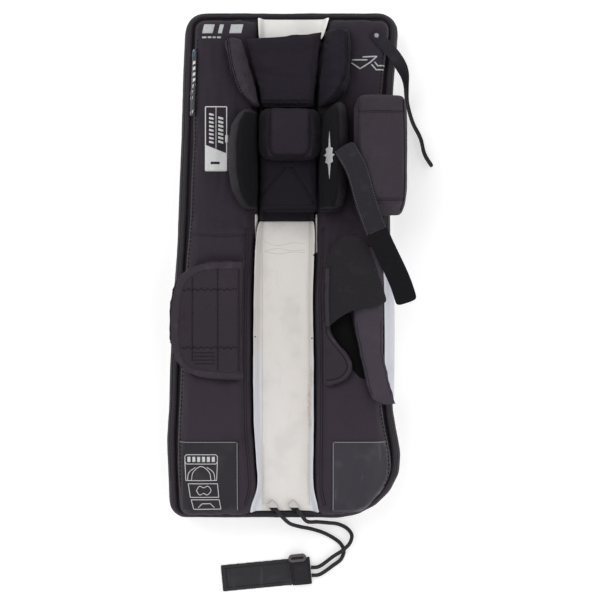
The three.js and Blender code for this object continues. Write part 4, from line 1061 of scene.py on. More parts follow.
def tube_mesh(path: Sequence[Sequence[float]], radius: float, sides: int = 10, closed: bool = False,
              ripple: Callable[[float, float], float] | None = None,
              ) -> tuple[list[Vector], list[Point3], list[tuple[int, ...]]]:
    """A tube along a path.

    Args:
        path: its centre's points in metres.
        radius: its radius in metres.
        sides: the points round it.
        closed: whether its end joins its start.
        ripple: how far its surface rises, in metres, from the turn round it and the distance along it.

    Returns:
        Its points, their places across and along it, and its faces.
    """
    centre = [Vector(p) for p in path]
    if closed and (centre[0] - centre[-1]).length < 1e-7:
        centre.pop()
    count = len(centre)
    points: list[Vector] = []
    runs: list[Point3] = []
    passed = 0.0
    for k, place in enumerate(centre):
        before = centre[k - 1] if k or closed else place
        after = centre[(k + 1) % count] if k + 1 < count or closed else place
        ahead = (after - before).normalized()
        side = ahead.cross(Vector((0, 0, 1)))
        side = side.normalized() if side.length > 1e-4 else Vector((1, 0, 0))
        up = side.cross(ahead)
        for i in range(sides):
            turn = 2 * math.pi * i / sides
            reach = radius + (ripple(turn, passed) if ripple else 0.0)
            points.append(place + side * (math.cos(turn) * reach) + up * (math.sin(turn) * reach))
            runs.append((turn * radius, passed, 0.0))
        if k + 1 < count:
            passed += (centre[k + 1] - place).length
    rows = count if closed else count - 1
    faces = [(k * sides + i, k * sides + (i + 1) % sides,
              (k + 1) % count * sides + (i + 1) % sides, (k + 1) % count * sides + i)
             for k in range(rows) for i in range(sides)]
    if not closed:
        faces.append(tuple(reversed(range(sides))))
        faces.append(tuple((count - 1) * sides + i for i in range(sides)))
    return points, runs, [tuple(reversed(face)) for face in faces]


def dense(line: Line2, step: float = 1.5) -> list[Point2]:
    """The same line in plan, with its corners kept.

    Args:
        line: its corners in millimetres.
        step: how far apart its places may be.

    Returns:
        Its places.
    """
    places: list[Point2] = []
    for a, b in zip(line[:-1], line[1:]):
        count = max(1, math.ceil(math.dist(a, b) / step))
        places += [(a[0] + (b[0] - a[0]) * i / count, a[1] + (b[1] - a[1]) * i / count) for i in range(count)]
    return [*places, tuple(line[-1])]


def covered(tree: BVHTree, flat: Line2, least: int) -> list[tuple[Vector, Vector]]:
    """The places of a surface under points in plan, or the nearest ones for points that are off it.

    Args:
        tree: the surface's search tree.
        flat: the points in metres.
        least: how many of them have to be over the surface.

    Returns:
        Each place and the direction that the surface faces there, or nothing where fewer are over it.
    """
    found = [dropped(tree, x, y) for x, y in flat]
    heights = [at[0].z for at in found if at]
    if len(heights) < least:
        return []
    middle = sum(heights) / len(heights)
    return [at or tree.find_nearest(Vector((*place, middle)))[:2] for at, place in zip(found, flat)]


@dataclass
class Laid:
    """Strips, cords and flat shapes that lie on a surface, gathered into one piece."""

    name: str
    finish: Finish
    slot: str
    points: list[Vector] = field(default_factory=list)
    runs: list[Point3] = field(default_factory=list)
    faces: list[tuple[int, ...]] = field(default_factory=list)

    def strip(self, tree: BVHTree, line: Line2, width: float, thickness: float, sink: float = 0.3,
              columns: int = 5) -> None:
        """Lays a flat band along a line in plan.

        Args:
            tree: the surface under it.
            line: its middle line in millimetres, closed where its last point is its first.
            width: its width in millimetres.
            thickness: how far it stands off the surface in millimetres.
            sink: how far its sides go into the surface in millimetres.
            columns: the points across it.
        """
        closed = math.dist(line[0], line[-1]) < 1e-6
        places = list(line[:-1]) if closed else list(line)
        count = len(places)
        passed = 0.0
        rows: list[list[tuple[Vector, Vector]]] = []
        spans: list[float] = []
        for k, (x, y) in enumerate(places):
            before = places[k - 1] if k or closed else places[k]
            after = places[(k + 1) % count] if k + 1 < count or closed else places[k]
            ahead = Vector((after[0] - before[0], after[1] - before[1])).normalized()
            offs = [(i / (columns - 1) - 0.5) * width for i in range(columns)]
            flat = [((x + ahead.y * off) * MM, (y - ahead.x * off) * MM) for off in offs]
            row = covered(tree, flat, 2)
            if not row:
                continue
            rows.append(row)
            spans.append(passed)
            if k + 1 < count:
                passed += math.dist(places[k], places[k + 1]) * MM
        if len(rows) > 1:
            self.band(rows, spans, (width, thickness, sink), closed and len(rows) == count)

    def band(self, rows: list[list[tuple[Vector, Vector]]], spans: Sequence[float],
             sizes: tuple[float, float, float], closed: bool) -> None:
        """Adds the closed band through rows of places on a surface.

        Args:
            rows: the places across it, each with the direction that the surface faces.
            spans: how far along it each row is, in metres.
            sizes: its width, its thickness and how far it sinks, in millimetres.
            closed: whether its end joins its start.
        """
        width, thickness, sink = sizes
        columns = len(rows[0])
        around = 2 * columns
        first = len(self.points)
        for row, span in zip(rows, spans):
            for i, (place, normal) in enumerate(row):
                rounding = 0.55 if i in (0, columns - 1) else 1.0
                self.points.append(place + normal * (thickness * rounding * MM))
                self.runs.append(((i / (columns - 1) - 0.5) * width * MM, span, 0.0))
            for i, (place, normal) in reversed(list(enumerate(row))):
                self.points.append(place - normal * (sink * MM))
                self.runs.append(((i / (columns - 1) - 0.5) * width * MM, span, 0.0))
        count = len(rows)
        for k in range(count if closed else count - 1):
            a, b = first + k * around, first + (k + 1) % count * around
            for i in range(around):
                j = (i + 1) % around
                self.faces.append((a + i, b + i, b + j, a + j))
        if not closed:
            self.faces.append(tuple(first + i for i in range(around)))
            last = first + (count - 1) * around
            self.faces.append(tuple(last + i for i in reversed(range(around))))

    def line(self, tree: BVHTree, line: Line2, radius: float, lift: float, sides: int = 7) -> None:
        """Lays a cord along a line in plan, with its middle raised off the surface, all in millimetres."""
        found = (dropped(tree, x * MM, y * MM, lift * MM) for x, y in line)
        self.cord([place for place, _ in filter(None, found)], radius, sides)

    def cord(self, path: Sequence[Vector], radius: float, sides: int = 7, closed: bool = False) -> None:
        """Adds a cord.

        Args:
            path: the places along its middle, in metres.
            radius: its radius in millimetres.
            sides: the points round it.
            closed: whether its end joins its start.
        """
        if len(path) < 2:
            return
        points, runs, faces = tube_mesh(path, radius * MM, sides, closed)
        first = len(self.points)
        self.points.extend(points)
        self.runs.extend(runs)
        self.faces.extend(tuple(first + i for i in face) for face in faces)

    def shape(self, tree: BVHTree, outline: Line2, thickness: float, grid: float) -> None:
        """Lays a flat shape on a surface.

        Args:
            tree: the surface under it.
            outline: its corners in plan, in millimetres.
            thickness: how far it stands off the surface in millimetres.
            grid: the spacing of its mesh in millimetres.
        """
        flat = bmesh.new()
        flat.faces.new([flat.verts.new((x, y, 0)) for x, y in outline])
        for axis in range(2):
            low, high = min(p[axis] for p in outline), max(p[axis] for p in outline)
            normal = (1, 0, 0) if axis == 0 else (0, 1, 0)
            for k in range(1, int((high - low) / grid) + 1):
                place = [0.0, 0.0, 0.0]
                place[axis] = low + k * grid
                every = flat.verts[:] + flat.edges[:] + flat.faces[:]
                bmesh.ops.bisect_plane(flat, geom=every, plane_co=place, plane_no=normal)
        flat.verts.ensure_lookup_table()
        found = covered(tree, [(v.co.x * MM, v.co.y * MM) for v in flat.verts], 1)
        first = len(self.points)
        count = len(found)
        if found:
            for side in (thickness, -0.2):
                self.points.extend(place + normal * (side * MM) for place, normal in found)
                self.runs.extend((v.co.x * MM, v.co.y * MM, 0.0) for v in flat.verts)
            for face in flat.faces:
                corners = [first + v.index for v in face.verts]
                if face.normal.z < 0:
                    corners.reverse()
                self.faces.append(tuple(corners))
                self.faces.append(tuple(i + count for i in reversed(corners)))
            for edge in flat.edges:
                if len(edge.link_faces) == 1:
                    a, b = (first + v.index for v in edge.verts)
                    self.faces.append((a, b, b + count, a + count))
        flat.free()

    def make(self) -> Piece:
        """Makes the piece.

        Returns:
            The piece.
        """
        obj = mesh_piece(self.name, self.points, self.faces)
        sides = bmesh.new()
        sides.from_mesh(obj.data)
        bmesh.ops.recalc_face_normals(sides, faces=sides.faces)
        sides.to_mesh(obj.data)
        sides.free()
        set_run(obj, self.runs)
        dress(obj, self.finish)
        return placed(obj, self.slot)


def side_line(obj: Piece, sign: int, low: float, high: float, inset: float,
              step: float = 3.0) -> list[Point2]:
    """The edge of a piece in plan on one side, all in millimetres.

    Args:
        obj: the piece.
        sign: 1 for its medial side, -1 for its outer side.
        low: where the line starts along the pad.
        high: where it ends.
        inset: how far it is taken in from the edge.
        step: the spacing of its points.

    Returns:
        The line, from low to high.
    """
    points = points_of(obj) / MM
    line = []
    for y in np.arange(low, high + 0.01, step):
        near = points[np.abs(points[:, 1] - y) < step]
        if len(near):
            line.append((float(sign * (sign * near[:, 0]).max()) - sign * inset, float(y)))
    return line


@dataclass(frozen=True)
class Crease:
    """Soft creases: their height and width in millimetres, and how they are squeezed along each axis."""

    height: float
    size: float = 26.0
    lean: Point3 = (1, 1, 1)

    def fold(self, obj: Piece, seed: float) -> None:
        """Raises the creases on a piece.

        Args:
            obj: the piece.
            seed: an offset that gives other creases.
        """
        points = points_of(obj)
        normals = normals_of(obj)
        scaled = points * np.array(self.lean) / (self.size * MM) + seed
        rise = np.array([noise.fractal(Vector(p), 0.7, 2.1, 3) for p in scaled])
        set_points(obj, points + normals * (rise * (self.height * MM))[:, None])


@dataclass(frozen=True)
class Studio:
    """The camera over the pad, a pale floor and soft light from all round."""

    aim: Point2 = (17.7, -43.6)
    height: float = 2500.0
    lens: float = 117.63
    sensor: float = 36.0
    floor: Colour = (0.86, 0.86, 0.86)
    floor_reach: float = 6000.0
    floor_drop: float = 0.6
    sky_strength: float = 0.75

    def build(self) -> None:
        """Sets up the camera, the light and the floor."""
        scene = bpy.context.scene
        scene.view_settings.view_transform = "Standard"
        lens = bpy.data.cameras.new("camera")
        lens.sensor_width = self.sensor
        lens.lens = self.lens
        lens.clip_end = 20
        camera = bpy.data.objects.new("camera", lens)
        camera.location = (self.aim[0] * MM, self.aim[1] * MM, self.height * MM)
        scene.collection.objects.link(camera)
        scene.camera = camera
        self.light("key", (-0.9, 0.9, 1.9), 1.6, 15)
        self.light("fill", (1.1, -0.5, 1.7), 1.6, 8)
        world = bpy.data.worlds.new("studio")
        world.use_nodes = True
        sky = world.node_tree.nodes["Background"].inputs
        sky[0].default_value = (1, 1, 1, 1)
        sky[1].default_value = self.sky_strength
        scene.world = world
        self.lay_floor()

    def light(self, name: str, place: Point3, size: float, power: float) -> None:
        """Adds a square soft light that looks at the pad.

        Args:
            name: its name.
            place: where it hangs, in metres.
            size: its width in metres.
            power: its power in watts.
        """
        data = bpy.data.lights.new(name, "AREA")
        data.size = size
        data.energy = power
        lamp = bpy.data.objects.new(name, data)
        lamp.location = place
        lamp.rotation_euler = (-Vector(place)).to_track_quat("-Z", "Y").to_euler()
        bpy.context.scene.collection.objects.link(lamp)

    def lay_floor(self) -> None:
        """Lays the floor just under the pad."""
        reach = self.floor_reach * MM
        corners = [(x * reach, y * reach, -self.floor_drop * MM) for x, y in ((-1, -1), (1, -1), (1, 1), (-1, 1))]
        floor = mesh_piece("floor", corners, [(0, 1, 2, 3)])
        shader = Shader("studio_paper")
        paper = shader.finish(self.floor, 0.95, Emission_Color=(1, 1, 1), Emission_Strength=0.32,
                              Specular_IOR_Level=0.1)
        floor.data.materials.append(paper)


@dataclass(frozen=True)
class ToeCord:
    """The two strands of the toe cord, from their tunnels to the toe strap, with the strap and its hook."""

    diameter: float = 4.8
    toe_y: float = -317.5
    face_y: float = -304.086
    face_z: float = 54.3
    turn: float = 40.0
    gap: float = 0.3
    sleeve: Point3 = (31.5, -387.5, 5.25)
    strap_turn: float = 5.5
    sleeve_length: float = 25.0
    yarn_pitch: float = 5.2
    yarn_rise: float = 0.16
    anchors: tuple[float, float] = (-13.0, 13.0)
    ends: tuple[float, float] = (-6.5, 3.5)
    outer_route: tuple[Point3, ...] = (
        (4, 5, 48), (17, 11, 34), (32, 16, 17), (47, 22, 5.5), (60, 29, 2.8), (69, 36, 2.8), (73.5, 45, 2.8),
        (70, 56, 2.8), (60, 64, 3.2))
    medial_route: tuple[Point3, ...] = (
        (26, 2.5, 50), (40, 5, 36), (54, 8, 20), (67, 11, 9), (78, 17, 6), (83.5, 25, 7.5), (81, 35, 8.6),
        (72, 44, 9), (60, 52, 8.2))

    def route(self, anchor: float, across: float, middle: Sequence[Point3]) -> list[Point3]:
        """The centre of one strand, in metres.

        Args:
            anchor: where its tunnel is, across the pad.
            across: where it meets the sleeve's end, across the strap.
            middle: its places between, as x, distance past the toe end, and height.

        Returns:
            Places along it, 0.8 mm apart.
        """
        turn = math.radians(self.turn)
        out = np.array([math.sin(turn), -math.cos(turn), 0])
        face = np.array([anchor, self.face_y, self.face_z])
        given = [face + self.gap * out, face + 2 * self.diameter * out]
        given += [np.array([x, self.toe_y - past, z]) for x, past, z in middle]
        given += [self.off_sleeve(self.gap + 2 * self.diameter, across), self.off_sleeve(self.gap, across)]
        return [tuple(MM * c for c in p) for p in curve3([tuple(p) for p in given], False, 0.8)]

    def off_sleeve(self, reach: float, across: float) -> np.ndarray:
        """A point off the sleeve's end, by its distance out and its place across, in millimetres."""
        lean = math.radians(self.strap_turn)
        sine, cosine = math.sin(lean), math.cos(lean)
        return np.array(self.sleeve) + (reach * cosine - across * sine, reach * sine + across * cosine, 0)

    def braid(self, turn: float, along: float) -> float:
        """How far the cord's crossing yarns rise, in metres, by the turn round it and the distance along it."""
        wave = 2 * math.pi * along / (self.yarn_pitch * MM)
        return self.yarn_rise * MM * (abs(math.sin(3 * turn + wave)) * abs(math.sin(3 * turn - wave)) - 0.45)

    def strand(self, node: str, name: str, path: Sequence[Point3]) -> None:
        """Args:
            node: the CAD node that it stands for.
            name: the piece's name.
            path: the places along its middle, in metres.
        """
        points, runs, faces = tube_mesh(path, self.diameter / 2 * MM, 24, False, self.braid)
        obj = dress(mesh_piece(name, points, faces), FINISH.cord)
        set_run(obj, runs)
        placed(obj, "cord_braid", node)

    def on_strap(self, along: float, across: float, height: float) -> Vector:
        """A place on the strap, in metres, by millimetres from the sleeve's end, its middle line and the floor."""
        turned = Matrix.Rotation(math.radians(self.strap_turn), 3, "Z") @ Vector((along, across, 0))
        return (turned + Vector((self.sleeve[0], self.sleeve[1], height))) * MM

    def in_plan(self, places: Line2) -> list[Point2]:
        """Places by distance along and across the strap, in plan, all in millimetres."""
        return [tuple(c / MM for c in self.on_strap(along, across, 0)[:2]) for along, across in places]

    def half(self, name: str, outwards: float, voxel: float, finish: Finish) -> Piece:
        """One end of the strap's solid, cut off where the tab runs under the sleeve.

        Args:
            name: the piece's name.
            outwards: 1 for the tab, -1 for the sleeve.
            voxel: the spacing of its mesh in metres.
            finish: its leather or webbing.

        Returns:
            The piece.
        """
        obj = from_node("toe_strap", name)
        ahead = self.on_strap(1, 0, 0) - self.on_strap(0, 0, 0)
        cut_off(obj, self.on_strap(-self.sleeve_length, 0, 0), ahead * outwards)
        remeshed(obj, voxel)
        relaxed(obj, 4)
        dress(obj, finish)
        run_in_plan(obj, self.strap_turn)
        return placed(obj, "boot_leather", "toe_strap")

    def hook(self) -> Piece:
        """The oval hook on the sleeve, with softened edges.

        Returns:
            The piece.
        """
        obj = from_node("toe_hook", "toe_hook_moulding")
        remeshed(obj, 0.6 * MM)
        relaxed(obj, 4)
        dress(obj, FINISH.hook_plastic)
        return placed(obj, "hook_plastic", "toe_hook")

    def tunnel(self, node: str, name: str) -> Piece:
        """A webbing tunnel that a strand comes out of.

        Args:
            node: the CAD node that it stands for.
            name: the piece's name.

        Returns:
            The piece.
        """
        obj = from_node(node, name)
        remeshed(obj, 0.6 * MM)
        relaxed(obj, 9)
        dress(obj, FINISH.tunnel)
        zone(obj, FINISH.seam, lambda place: place.y < -302.0 * MM)
        return placed(obj, "webbing", node)

    def build(self) -> dict[str, Piece]:
        """Makes the cords and what they are fixed to.

        Returns:
            The tab and the sleeve of the strap.
        """
        outer = self.route(self.anchors[0], self.ends[0], self.outer_route)
        medial = self.route(self.anchors[1], self.ends[1], self.medial_route)
        tab = self.half("toe_strap_tab", 1, 1.1 * MM, FINISH.toe_leather)
        pouch = self.half("toe_strap_sleeve", -1, 0.9 * MM, FINISH.toe_webbing)
        hook = self.hook()
        first = self.tunnel("toe_anchor_outer", "cord_tunnel_outer")
        second = self.tunnel("toe_anchor_medial", "cord_tunnel_medial")
        self.strand("cord_outer", "toe_cord_outer", outer)
        self.strand("cord_medial", "toe_cord_medial", medial)
        return {"toe_tab": tab, "toe_sleeve": pouch}


@dataclass(frozen=True)
class PadBody:
    """The body: the white face below, the foam core's dark sides, and the bead round the back edge."""

    face_grid: float = 3 * MM
    core_grid: float = 4 * MM
    crease: Crease = Crease(0.6, 26, (0.6, 0.35, 1.6))

    def face(self) -> Piece:
        """The face panel, which the pad lies on.

        Returns:
            The piece.
        """
        obj = from_node("front_face", "face_panel")
        remeshed(obj, self.face_grid)
        relaxed(obj, 2)
        dress(obj, FINISH.face)
        placed(obj, "white_leather", "front_face")
        return obj

    def core(self) -> Piece:
        """The core, with soft edges.

        Returns:
            The piece.
        """
        obj = from_node("core", "core_cover")
        remeshed(obj, self.core_grid)
        relaxed(obj, 3)
        subdivided(obj)
        self.crease.fold(obj, 8.2)
        dress(obj, FINISH.core)
        placed(obj, "body_nylon", "core")
        return obj

    def bead(self) -> Piece:
        """The corded bead.

        Returns:
            The piece.
        """
        obj = from_node("back_bead", "back_bead_cord")
        subdivided(obj, 2)
        run_in_plan(obj)
        dress(obj, FINISH.bead)
        return placed(obj, "binding", "back_bead")

    def build(self) -> dict[str, Piece]:
        """Makes the body, by the names of its CAD nodes."""
        return {"front_face": self.face(), "core": self.core(), "back_bead": self.bead()}


def warp(obj: Piece, shift: Callable[[np.ndarray], Moves]) -> None:
    """Moves a piece's points across and along the pad.

    Args:
        obj: the piece.
        shift: gives how far each point moves, from the points in millimetres.
    """
    points = points_of(obj) / MM
    across, along = shift(points)
    points[:, 0] += across
    points[:, 1] += along
    set_points(obj, points * MM)


def widen_tongue(points: np.ndarray) -> Moves:
    """Lets the tongue bulge over the wings beside it, above where they are close."""
    off = points[:, 0] - 3.5
    return np.where(off > 0, 0.15, 0.05) * off * np.interp(points[:, 2], (88, 100, 112), (0, 1, 0.75)), 0.0


def square_wing(points: np.ndarray) -> Moves:
    """Keeps the outer side of the medial thigh wing straight until near its foot."""
    factor = np.interp(points[:, 1], (192, 199, 210, 220, 236), (0.06, 0.34, 0.33, 0.2, 0))
    return (points[:, 0] - 36.3) * factor, 0.0


def lower_elastic(points: np.ndarray) -> Moves:
    """Draws the elastic's lower edge down at its outer end."""
    out = np.interp(points[:, 0], (85, 122), (0, 1))
    return 0.0, -8 * out * np.interp(points[:, 1], (-60, -10), (1, 0))


def lower_riser(points: np.ndarray) -> Moves:
    """Lets a riser's toe end bulge further over the body's rim."""
    toe = np.interp(points[:, 1], (-298, -262), (1, 0))
    return 0.0, -5.5 * toe * np.interp(points[:, 2], (51, 58), (0, 1))


def round_strip(points: np.ndarray) -> Moves:
    """Rounds the lower end of the medial calf strip, most at its inner corner."""
    low = np.interp(points[:, 1], (-168, -150), (1, 0))
    inner = np.interp(points[:, 0], (104, 122), (1, 0))
    return 0.0, (9 * inner**1.5 - 5) * low


def lower_flap(points: np.ndarray) -> Moves:
    """Draws the top of the outer flap down a little, and fills its lower outer corner.

    Args:
        points: the flap's points in millimetres.

    Returns:
        How far each one moves across and along the pad.
    """
    top = np.interp(points[:, 1], (-40, 10), (0, 1))
    inner = np.interp(points[:, 0], (-120, -60), (0, 1))
    low = np.interp(points[:, 1], (-135, -115, -85), (0.4, 1, 0))
    corner = low * np.interp(points[:, 0], (-140, -118, -95), (0, 1, 0))
    return -3.5 * corner, -4.5 * top * inner - 4 * corner


def set_rim(obj: Piece, shares: np.ndarray) -> None:
    """Stores how much of the rim's colour each point of a piece takes."""
    attribute = obj.data.attributes.new("rim", "FLOAT", "POINT")
    attribute.data.foreach_set("value", shares.astype(np.float32))


def mark_rim(obj: Piece, sign: int) -> None:
    """Marks the lighter outer rim of a cradle wing.

    Args:
        obj: the wing.
        sign: 1 for the medial wing, -1 for the outer one.
    """
    points = points_of(obj) / MM
    share = np.zeros(len(points))
    for y in np.arange(points[:, 1].min(), points[:, 1].max() + 2, 2.0):
        row = np.abs(points[:, 1] - y) <= 1.0
        near = np.abs(points[:, 1] - y) < 3.0
        if row.any():
            edge = (sign * points[near][:, 0]).max()
            share[row] = np.clip((sign * points[row][:, 0] - (edge - WING_RIM)) / 1.2, 0, 1)
    ends = (points[:, 1] > points[:, 1].max() - 5) | (points[:, 1] < points[:, 1].min() + 5)
    set_rim(obj, np.where(ends, 1.0, share))


def mark_shaded_slopes(obj: Piece) -> None:
    """Marks the sides of the tongue off its middle panel, where shade is painted darker."""
    points = points_of(obj) / MM
    off = np.maximum(np.abs(points[:, 0] - 5.2) - 24.5, 132.5 - points[:, 1])
    set_rim(obj, np.clip(off / 2.5, 0, 1))


def zigzag(start: Point2, end: Point2, step: float, swing: float) -> list[Point2]:
    """A zig-zag line between two places in plan, in millimetres.

    Args:
        start: its start.
        end: its end.
        step: the spacing of its corners along it.
        swing: how far they are to its sides.

    Returns:
        Its corners.
    """
    length = math.dist(start, end)
    count = max(2, round(length / step))
    ahead = ((end[0] - start[0]) / length, (end[1] - start[1]) / length)
    sway = [(0 if k in (0, count) else swing * (-1) ** k) for k in range(count + 1)]
    return [(start[0] + (end[0] - start[0]) * k / count - ahead[1] * sway[k],
             start[1] + (end[1] - start[1]) * k / count + ahead[0] * sway[k]) for k in range(count + 1)]


def beside(line: Line2, distance: float) -> list[Point2]:
    """A line moved sideways in plan, in millimetres.

    Args:
        line: its points.
        distance: how far it moves to its left, or to its right where that is below 0.

    Returns:
        The moved points.
    """
    moved = []
    for k, (x, y) in enumerate(line):
        before, after = line[max(k - 1, 0)], line[min(k + 1, len(line) - 1)]
        length = max(math.dist(before, after), 1e-9)
        off = distance / length
        moved.append((x - (after[1] - before[1]) * off, y + (after[0] - before[0]) * off))
    return moved


OUTER_SEAM = curve2((
    (-48, 46), (-49, 20), (-50.5, -35), (-51, -89), (-50.5, -203), (-46.5, -254), (-46.5, -279), (-51, -297)))
MEDIAL_SEAM = curve2((
    (47, 46), (46, 10), (43.5, -35), (45, -89), (45.5, -203), (44.8, -254), (45.5, -279), (49.5, -297)))
CROSS_SEAM = curve2(((-49, 37.5), (-90, 37), (-118, 39), (-128, 41)))
FLOOR_SEAMS = (curve2(((-0.8, 120.3), (-30.3, 85.8))), curve2(((6.6, 120.3), (35, 75.9))))
TONGUE_EDGE = curve2(((-18.5, 190), (-19, 142), (-15, 133.5), (5.5, 132), (25, 133.5), (29, 142), (29.5, 190)))
BLOCK_SEAMS = (curve2(((88.3, 184), (143, 184))), curve2(((88.6, 202), (88.6, 78))), curve2(((89, 77), (142, 77))))
THIGH_FOOT = curve2(((-46, 196), (-20, 195), (20, 195), (42, 196)))
FLAP_RIM = curve2((
    (-53, -0.9), (-70, -0.8), (-89, -1.4), (-104, -4.2), (-116, -10), (-126, -19), (-131.5, -34), (-135.6, -67),
    (-134.4, -102), (-130.2, -118), (-120.5, -129.3), (-107, -134), (-90, -136.3), (-71.5, -137.6), (-53, -137.8)))
FLAP_QUILT = (
    curve2(((-114, -16), (-114, -118))), curve2(((-83, -5), (-83, -129))), curve2(((-57, -3), (-57, -132))),
    zigzag((-59, -31), (-127, -31), 4, 1.3), zigzag((-59, -102), (-127, -102), 4, 1.3))
SMALL_FLAP_RIM = curve2((
    (50, -145.5), (60, -144.6), (69, -141), (76.5, -133.5), (79.3, -125), (75.5, -113.5), (65, -99.5),
    (54.5, -84.5), (51.2, -62), (50.6, -30), (51.4, -6)))
WIDE_STRAP = curve2((
    (69.8, 142.3), (78.8, 127.7), (86.4, 112.4), (91.4, 95.9), (95.8, 79.5), (101.2, 63.3), (107.5, 47.2),
    (114.5, 31.5), (122, 15.9), (129.9, 0.6), (137.4, -15), (143.9, -30.8), (149.2, -47.1)))


@dataclass(frozen=True)
class Cushion:
    """A padded piece that is grown from its CAD solid."""

    node: str
    name: str
    slot: str
    finish: Nylon
    swell: Swell
    fill: float = 0.7
    levels: int = 1
    seams: tuple[Seam, ...] = ()
    crease: Crease = Crease(0.35)
    shift: Callable[[np.ndarray], Moves] | None = None
    mark: Callable[[Piece], None] | None = None

    def build(self) -> Piece:
        """Makes the piece.

        Returns:
            The piece.
        """
        obj = from_node(self.node, self.name)
        self.swell.grow(obj, [self.node])
        if self.shift is not None:
            warp(obj, self.shift)
        subdivided(obj, self.levels)
        self.crease.fold(obj, len(self.name))
        for seam in self.seams:
            seam.press(obj)
        if self.mark is not None:
            self.mark(obj)
        dress(obj, self.finish)
        placed(obj, self.slot, self.node)
        return obj


class Cushions:
    """Every padded piece of the leg side."""

    def __init__(self) -> None:
        """Lists the cushions in the order that they are built."""
        wide = Swell(5 * MM, 1.5 * MM, 3 * MM, 5.0)
        small = Swell(3 * MM, 0.8 * MM, 1.8 * MM, 5.0)
        self.cushions = (
            Cushion("riser_outer", "outer_riser_pad", "pad_nylon", FINISH.body, wide, 0.75,
                    seams=(Seam(OUTER_SEAM, 1.4, 2.6), Seam(CROSS_SEAM, 0.9, 2.6, above=84)),
                    crease=Crease(1.4, 30, (1.8, 0.3, 1)), shift=lower_riser),
            Cushion("riser_medial", "medial_riser_pad", "pad_nylon", FINISH.body, wide, 0.75,
                    seams=(Seam(MEDIAL_SEAM, 1.4, 2.6),), crease=Crease(1.4, 30, (1.8, 0.3, 1)),
                    shift=lower_riser),
            Cushion("cradle_floor", "cradle_floor_pad", "cradle_nylon", FINISH.cradle_floor, small, 0.5,
                    seams=tuple(Seam(line, 1.0, 1.8) for line in FLOOR_SEAMS)),
            Cushion("cradle_wing_outer", "outer_cradle_wing", "cradle_nylon", FINISH.cradle, small, 0.7,
                    crease=Crease(0.7, 20, (1, 0.6, 1)), mark=partial(mark_rim, sign=-1)),
            Cushion("cradle_wing_medial", "medial_cradle_wing", "cradle_nylon", FINISH.cradle, small, 0.7,
                    crease=Crease(0.7, 20, (1, 0.6, 1)), mark=partial(mark_rim, sign=1)),
            Cushion("knee_tongue", "knee_tongue_pad", "knee_nylon", FINISH.tongue, small, 0.7,
                    seams=(Seam(TONGUE_EDGE, 1.3, 1.8, side=-0.2),), crease=Crease(0.8, 16),
                    shift=widen_tongue, mark=mark_shaded_slopes),
            Cushion("knee_block", "knee_block_pad", "knee_nylon", FINISH.block, small, 0.85,
                    seams=tuple(Seam(line, 0.9, 1.8, above=120) for line in BLOCK_SEAMS)),
            Cushion("thigh_panel", "thigh_panel_pad", "cradle_nylon", FINISH.thigh, small, 0.5,
                    seams=(Seam(THIGH_FOOT, 1.2, 2.0, 0.6),
                           Seam(((-40, 240), (-14, 231), (12, 228), (36, 236)), 0.8, 5),
                           Seam(((-34, 262), (-4, 256), (24, 262)), 0.6, 6)),
                    crease=Crease(1.5, 22, (0.5, 1.3, 1))),
            Cushion("thigh_wing_outer", "outer_thigh_wing", "pad_nylon", FINISH.wing, small, 0.6,
                    seams=(Seam(((-72, 226), (-58, 233), (-44, 230)), 1.4, 4),
                           Seam(((-66, 213), (-52, 219)), 1.3, 3.5),
                           Seam(((-70, 246), (-52, 252)), 0.9, 5)),
                    crease=Crease(1.3, 20, (0.7, 1.2, 1))),
            Cushion("thigh_wing_medial", "medial_thigh_wing", "pad_nylon", FINISH.wing_medial, small, 0.6,
                    seams=(Seam(((76, 222), (62, 230), (48, 226)), 1.2, 4),
                           Seam(((70, 208), (54, 214)), 1.2, 3.5)),
                    crease=Crease(1.3, 20, (0.7, 1.2, 1)), shift=square_wing),
            Cushion("calf_flap_outer", "outer_calf_flap", "flap_nylon", FINISH.flap, small, 0.5,
                    seams=tuple(Seam(line, 0.9, 1.8) for line in FLAP_QUILT), crease=Crease(0.8, 30),
                    shift=lower_flap),
            Cushion("calf_flap_medial", "medial_calf_flap", "flap_nylon", FINISH.flap, small, 0.5,
                    crease=Crease(0.8)),
            Cushion("calf_strip_medial", "medial_calf_strip", "flap_nylon", FINISH.strip, small, 0.6,
                    crease=Crease(0.9, 22), shift=round_strip),
        )

    def build(self) -> dict[str, Piece]:
        """Makes the cushions.

        Returns:
            The pieces by the name of the CAD node that each stands for.
        """
        return {cushion.node: cushion.build() for cushion in self.cushions}


@dataclass(frozen=True)
class SewnSheet:
    """A sheet of cloth, leather or webbing that follows its CAD solid."""

    node: str
    name: str
    slot: str
    finish: Finish
    flat: Point2
    held: str = "laid"
    rests_on: tuple[str, ...] = ()
    area: float | None = None
    levels: int = 2
    angle: float = 90.0
    crease: Crease | None = None
    shift: Callable[[np.ndarray], Moves] | None = None

    def build(self) -> Piece:
        """Makes the piece.

        Returns:
            The piece.
        """
        obj = from_node(self.node, self.name)
        subdivided(obj, self.levels)
        if self.shift is not None:
            warp(obj, self.shift)
        if self.crease is not None:
            self.crease.fold(obj, 3.7)
        run_in_plan(obj, self.angle)
        dress(obj, self.finish)
        placed(obj, self.slot, self.node)
        self.flat[0] * MM
        self.flat[1] * MM
        return obj


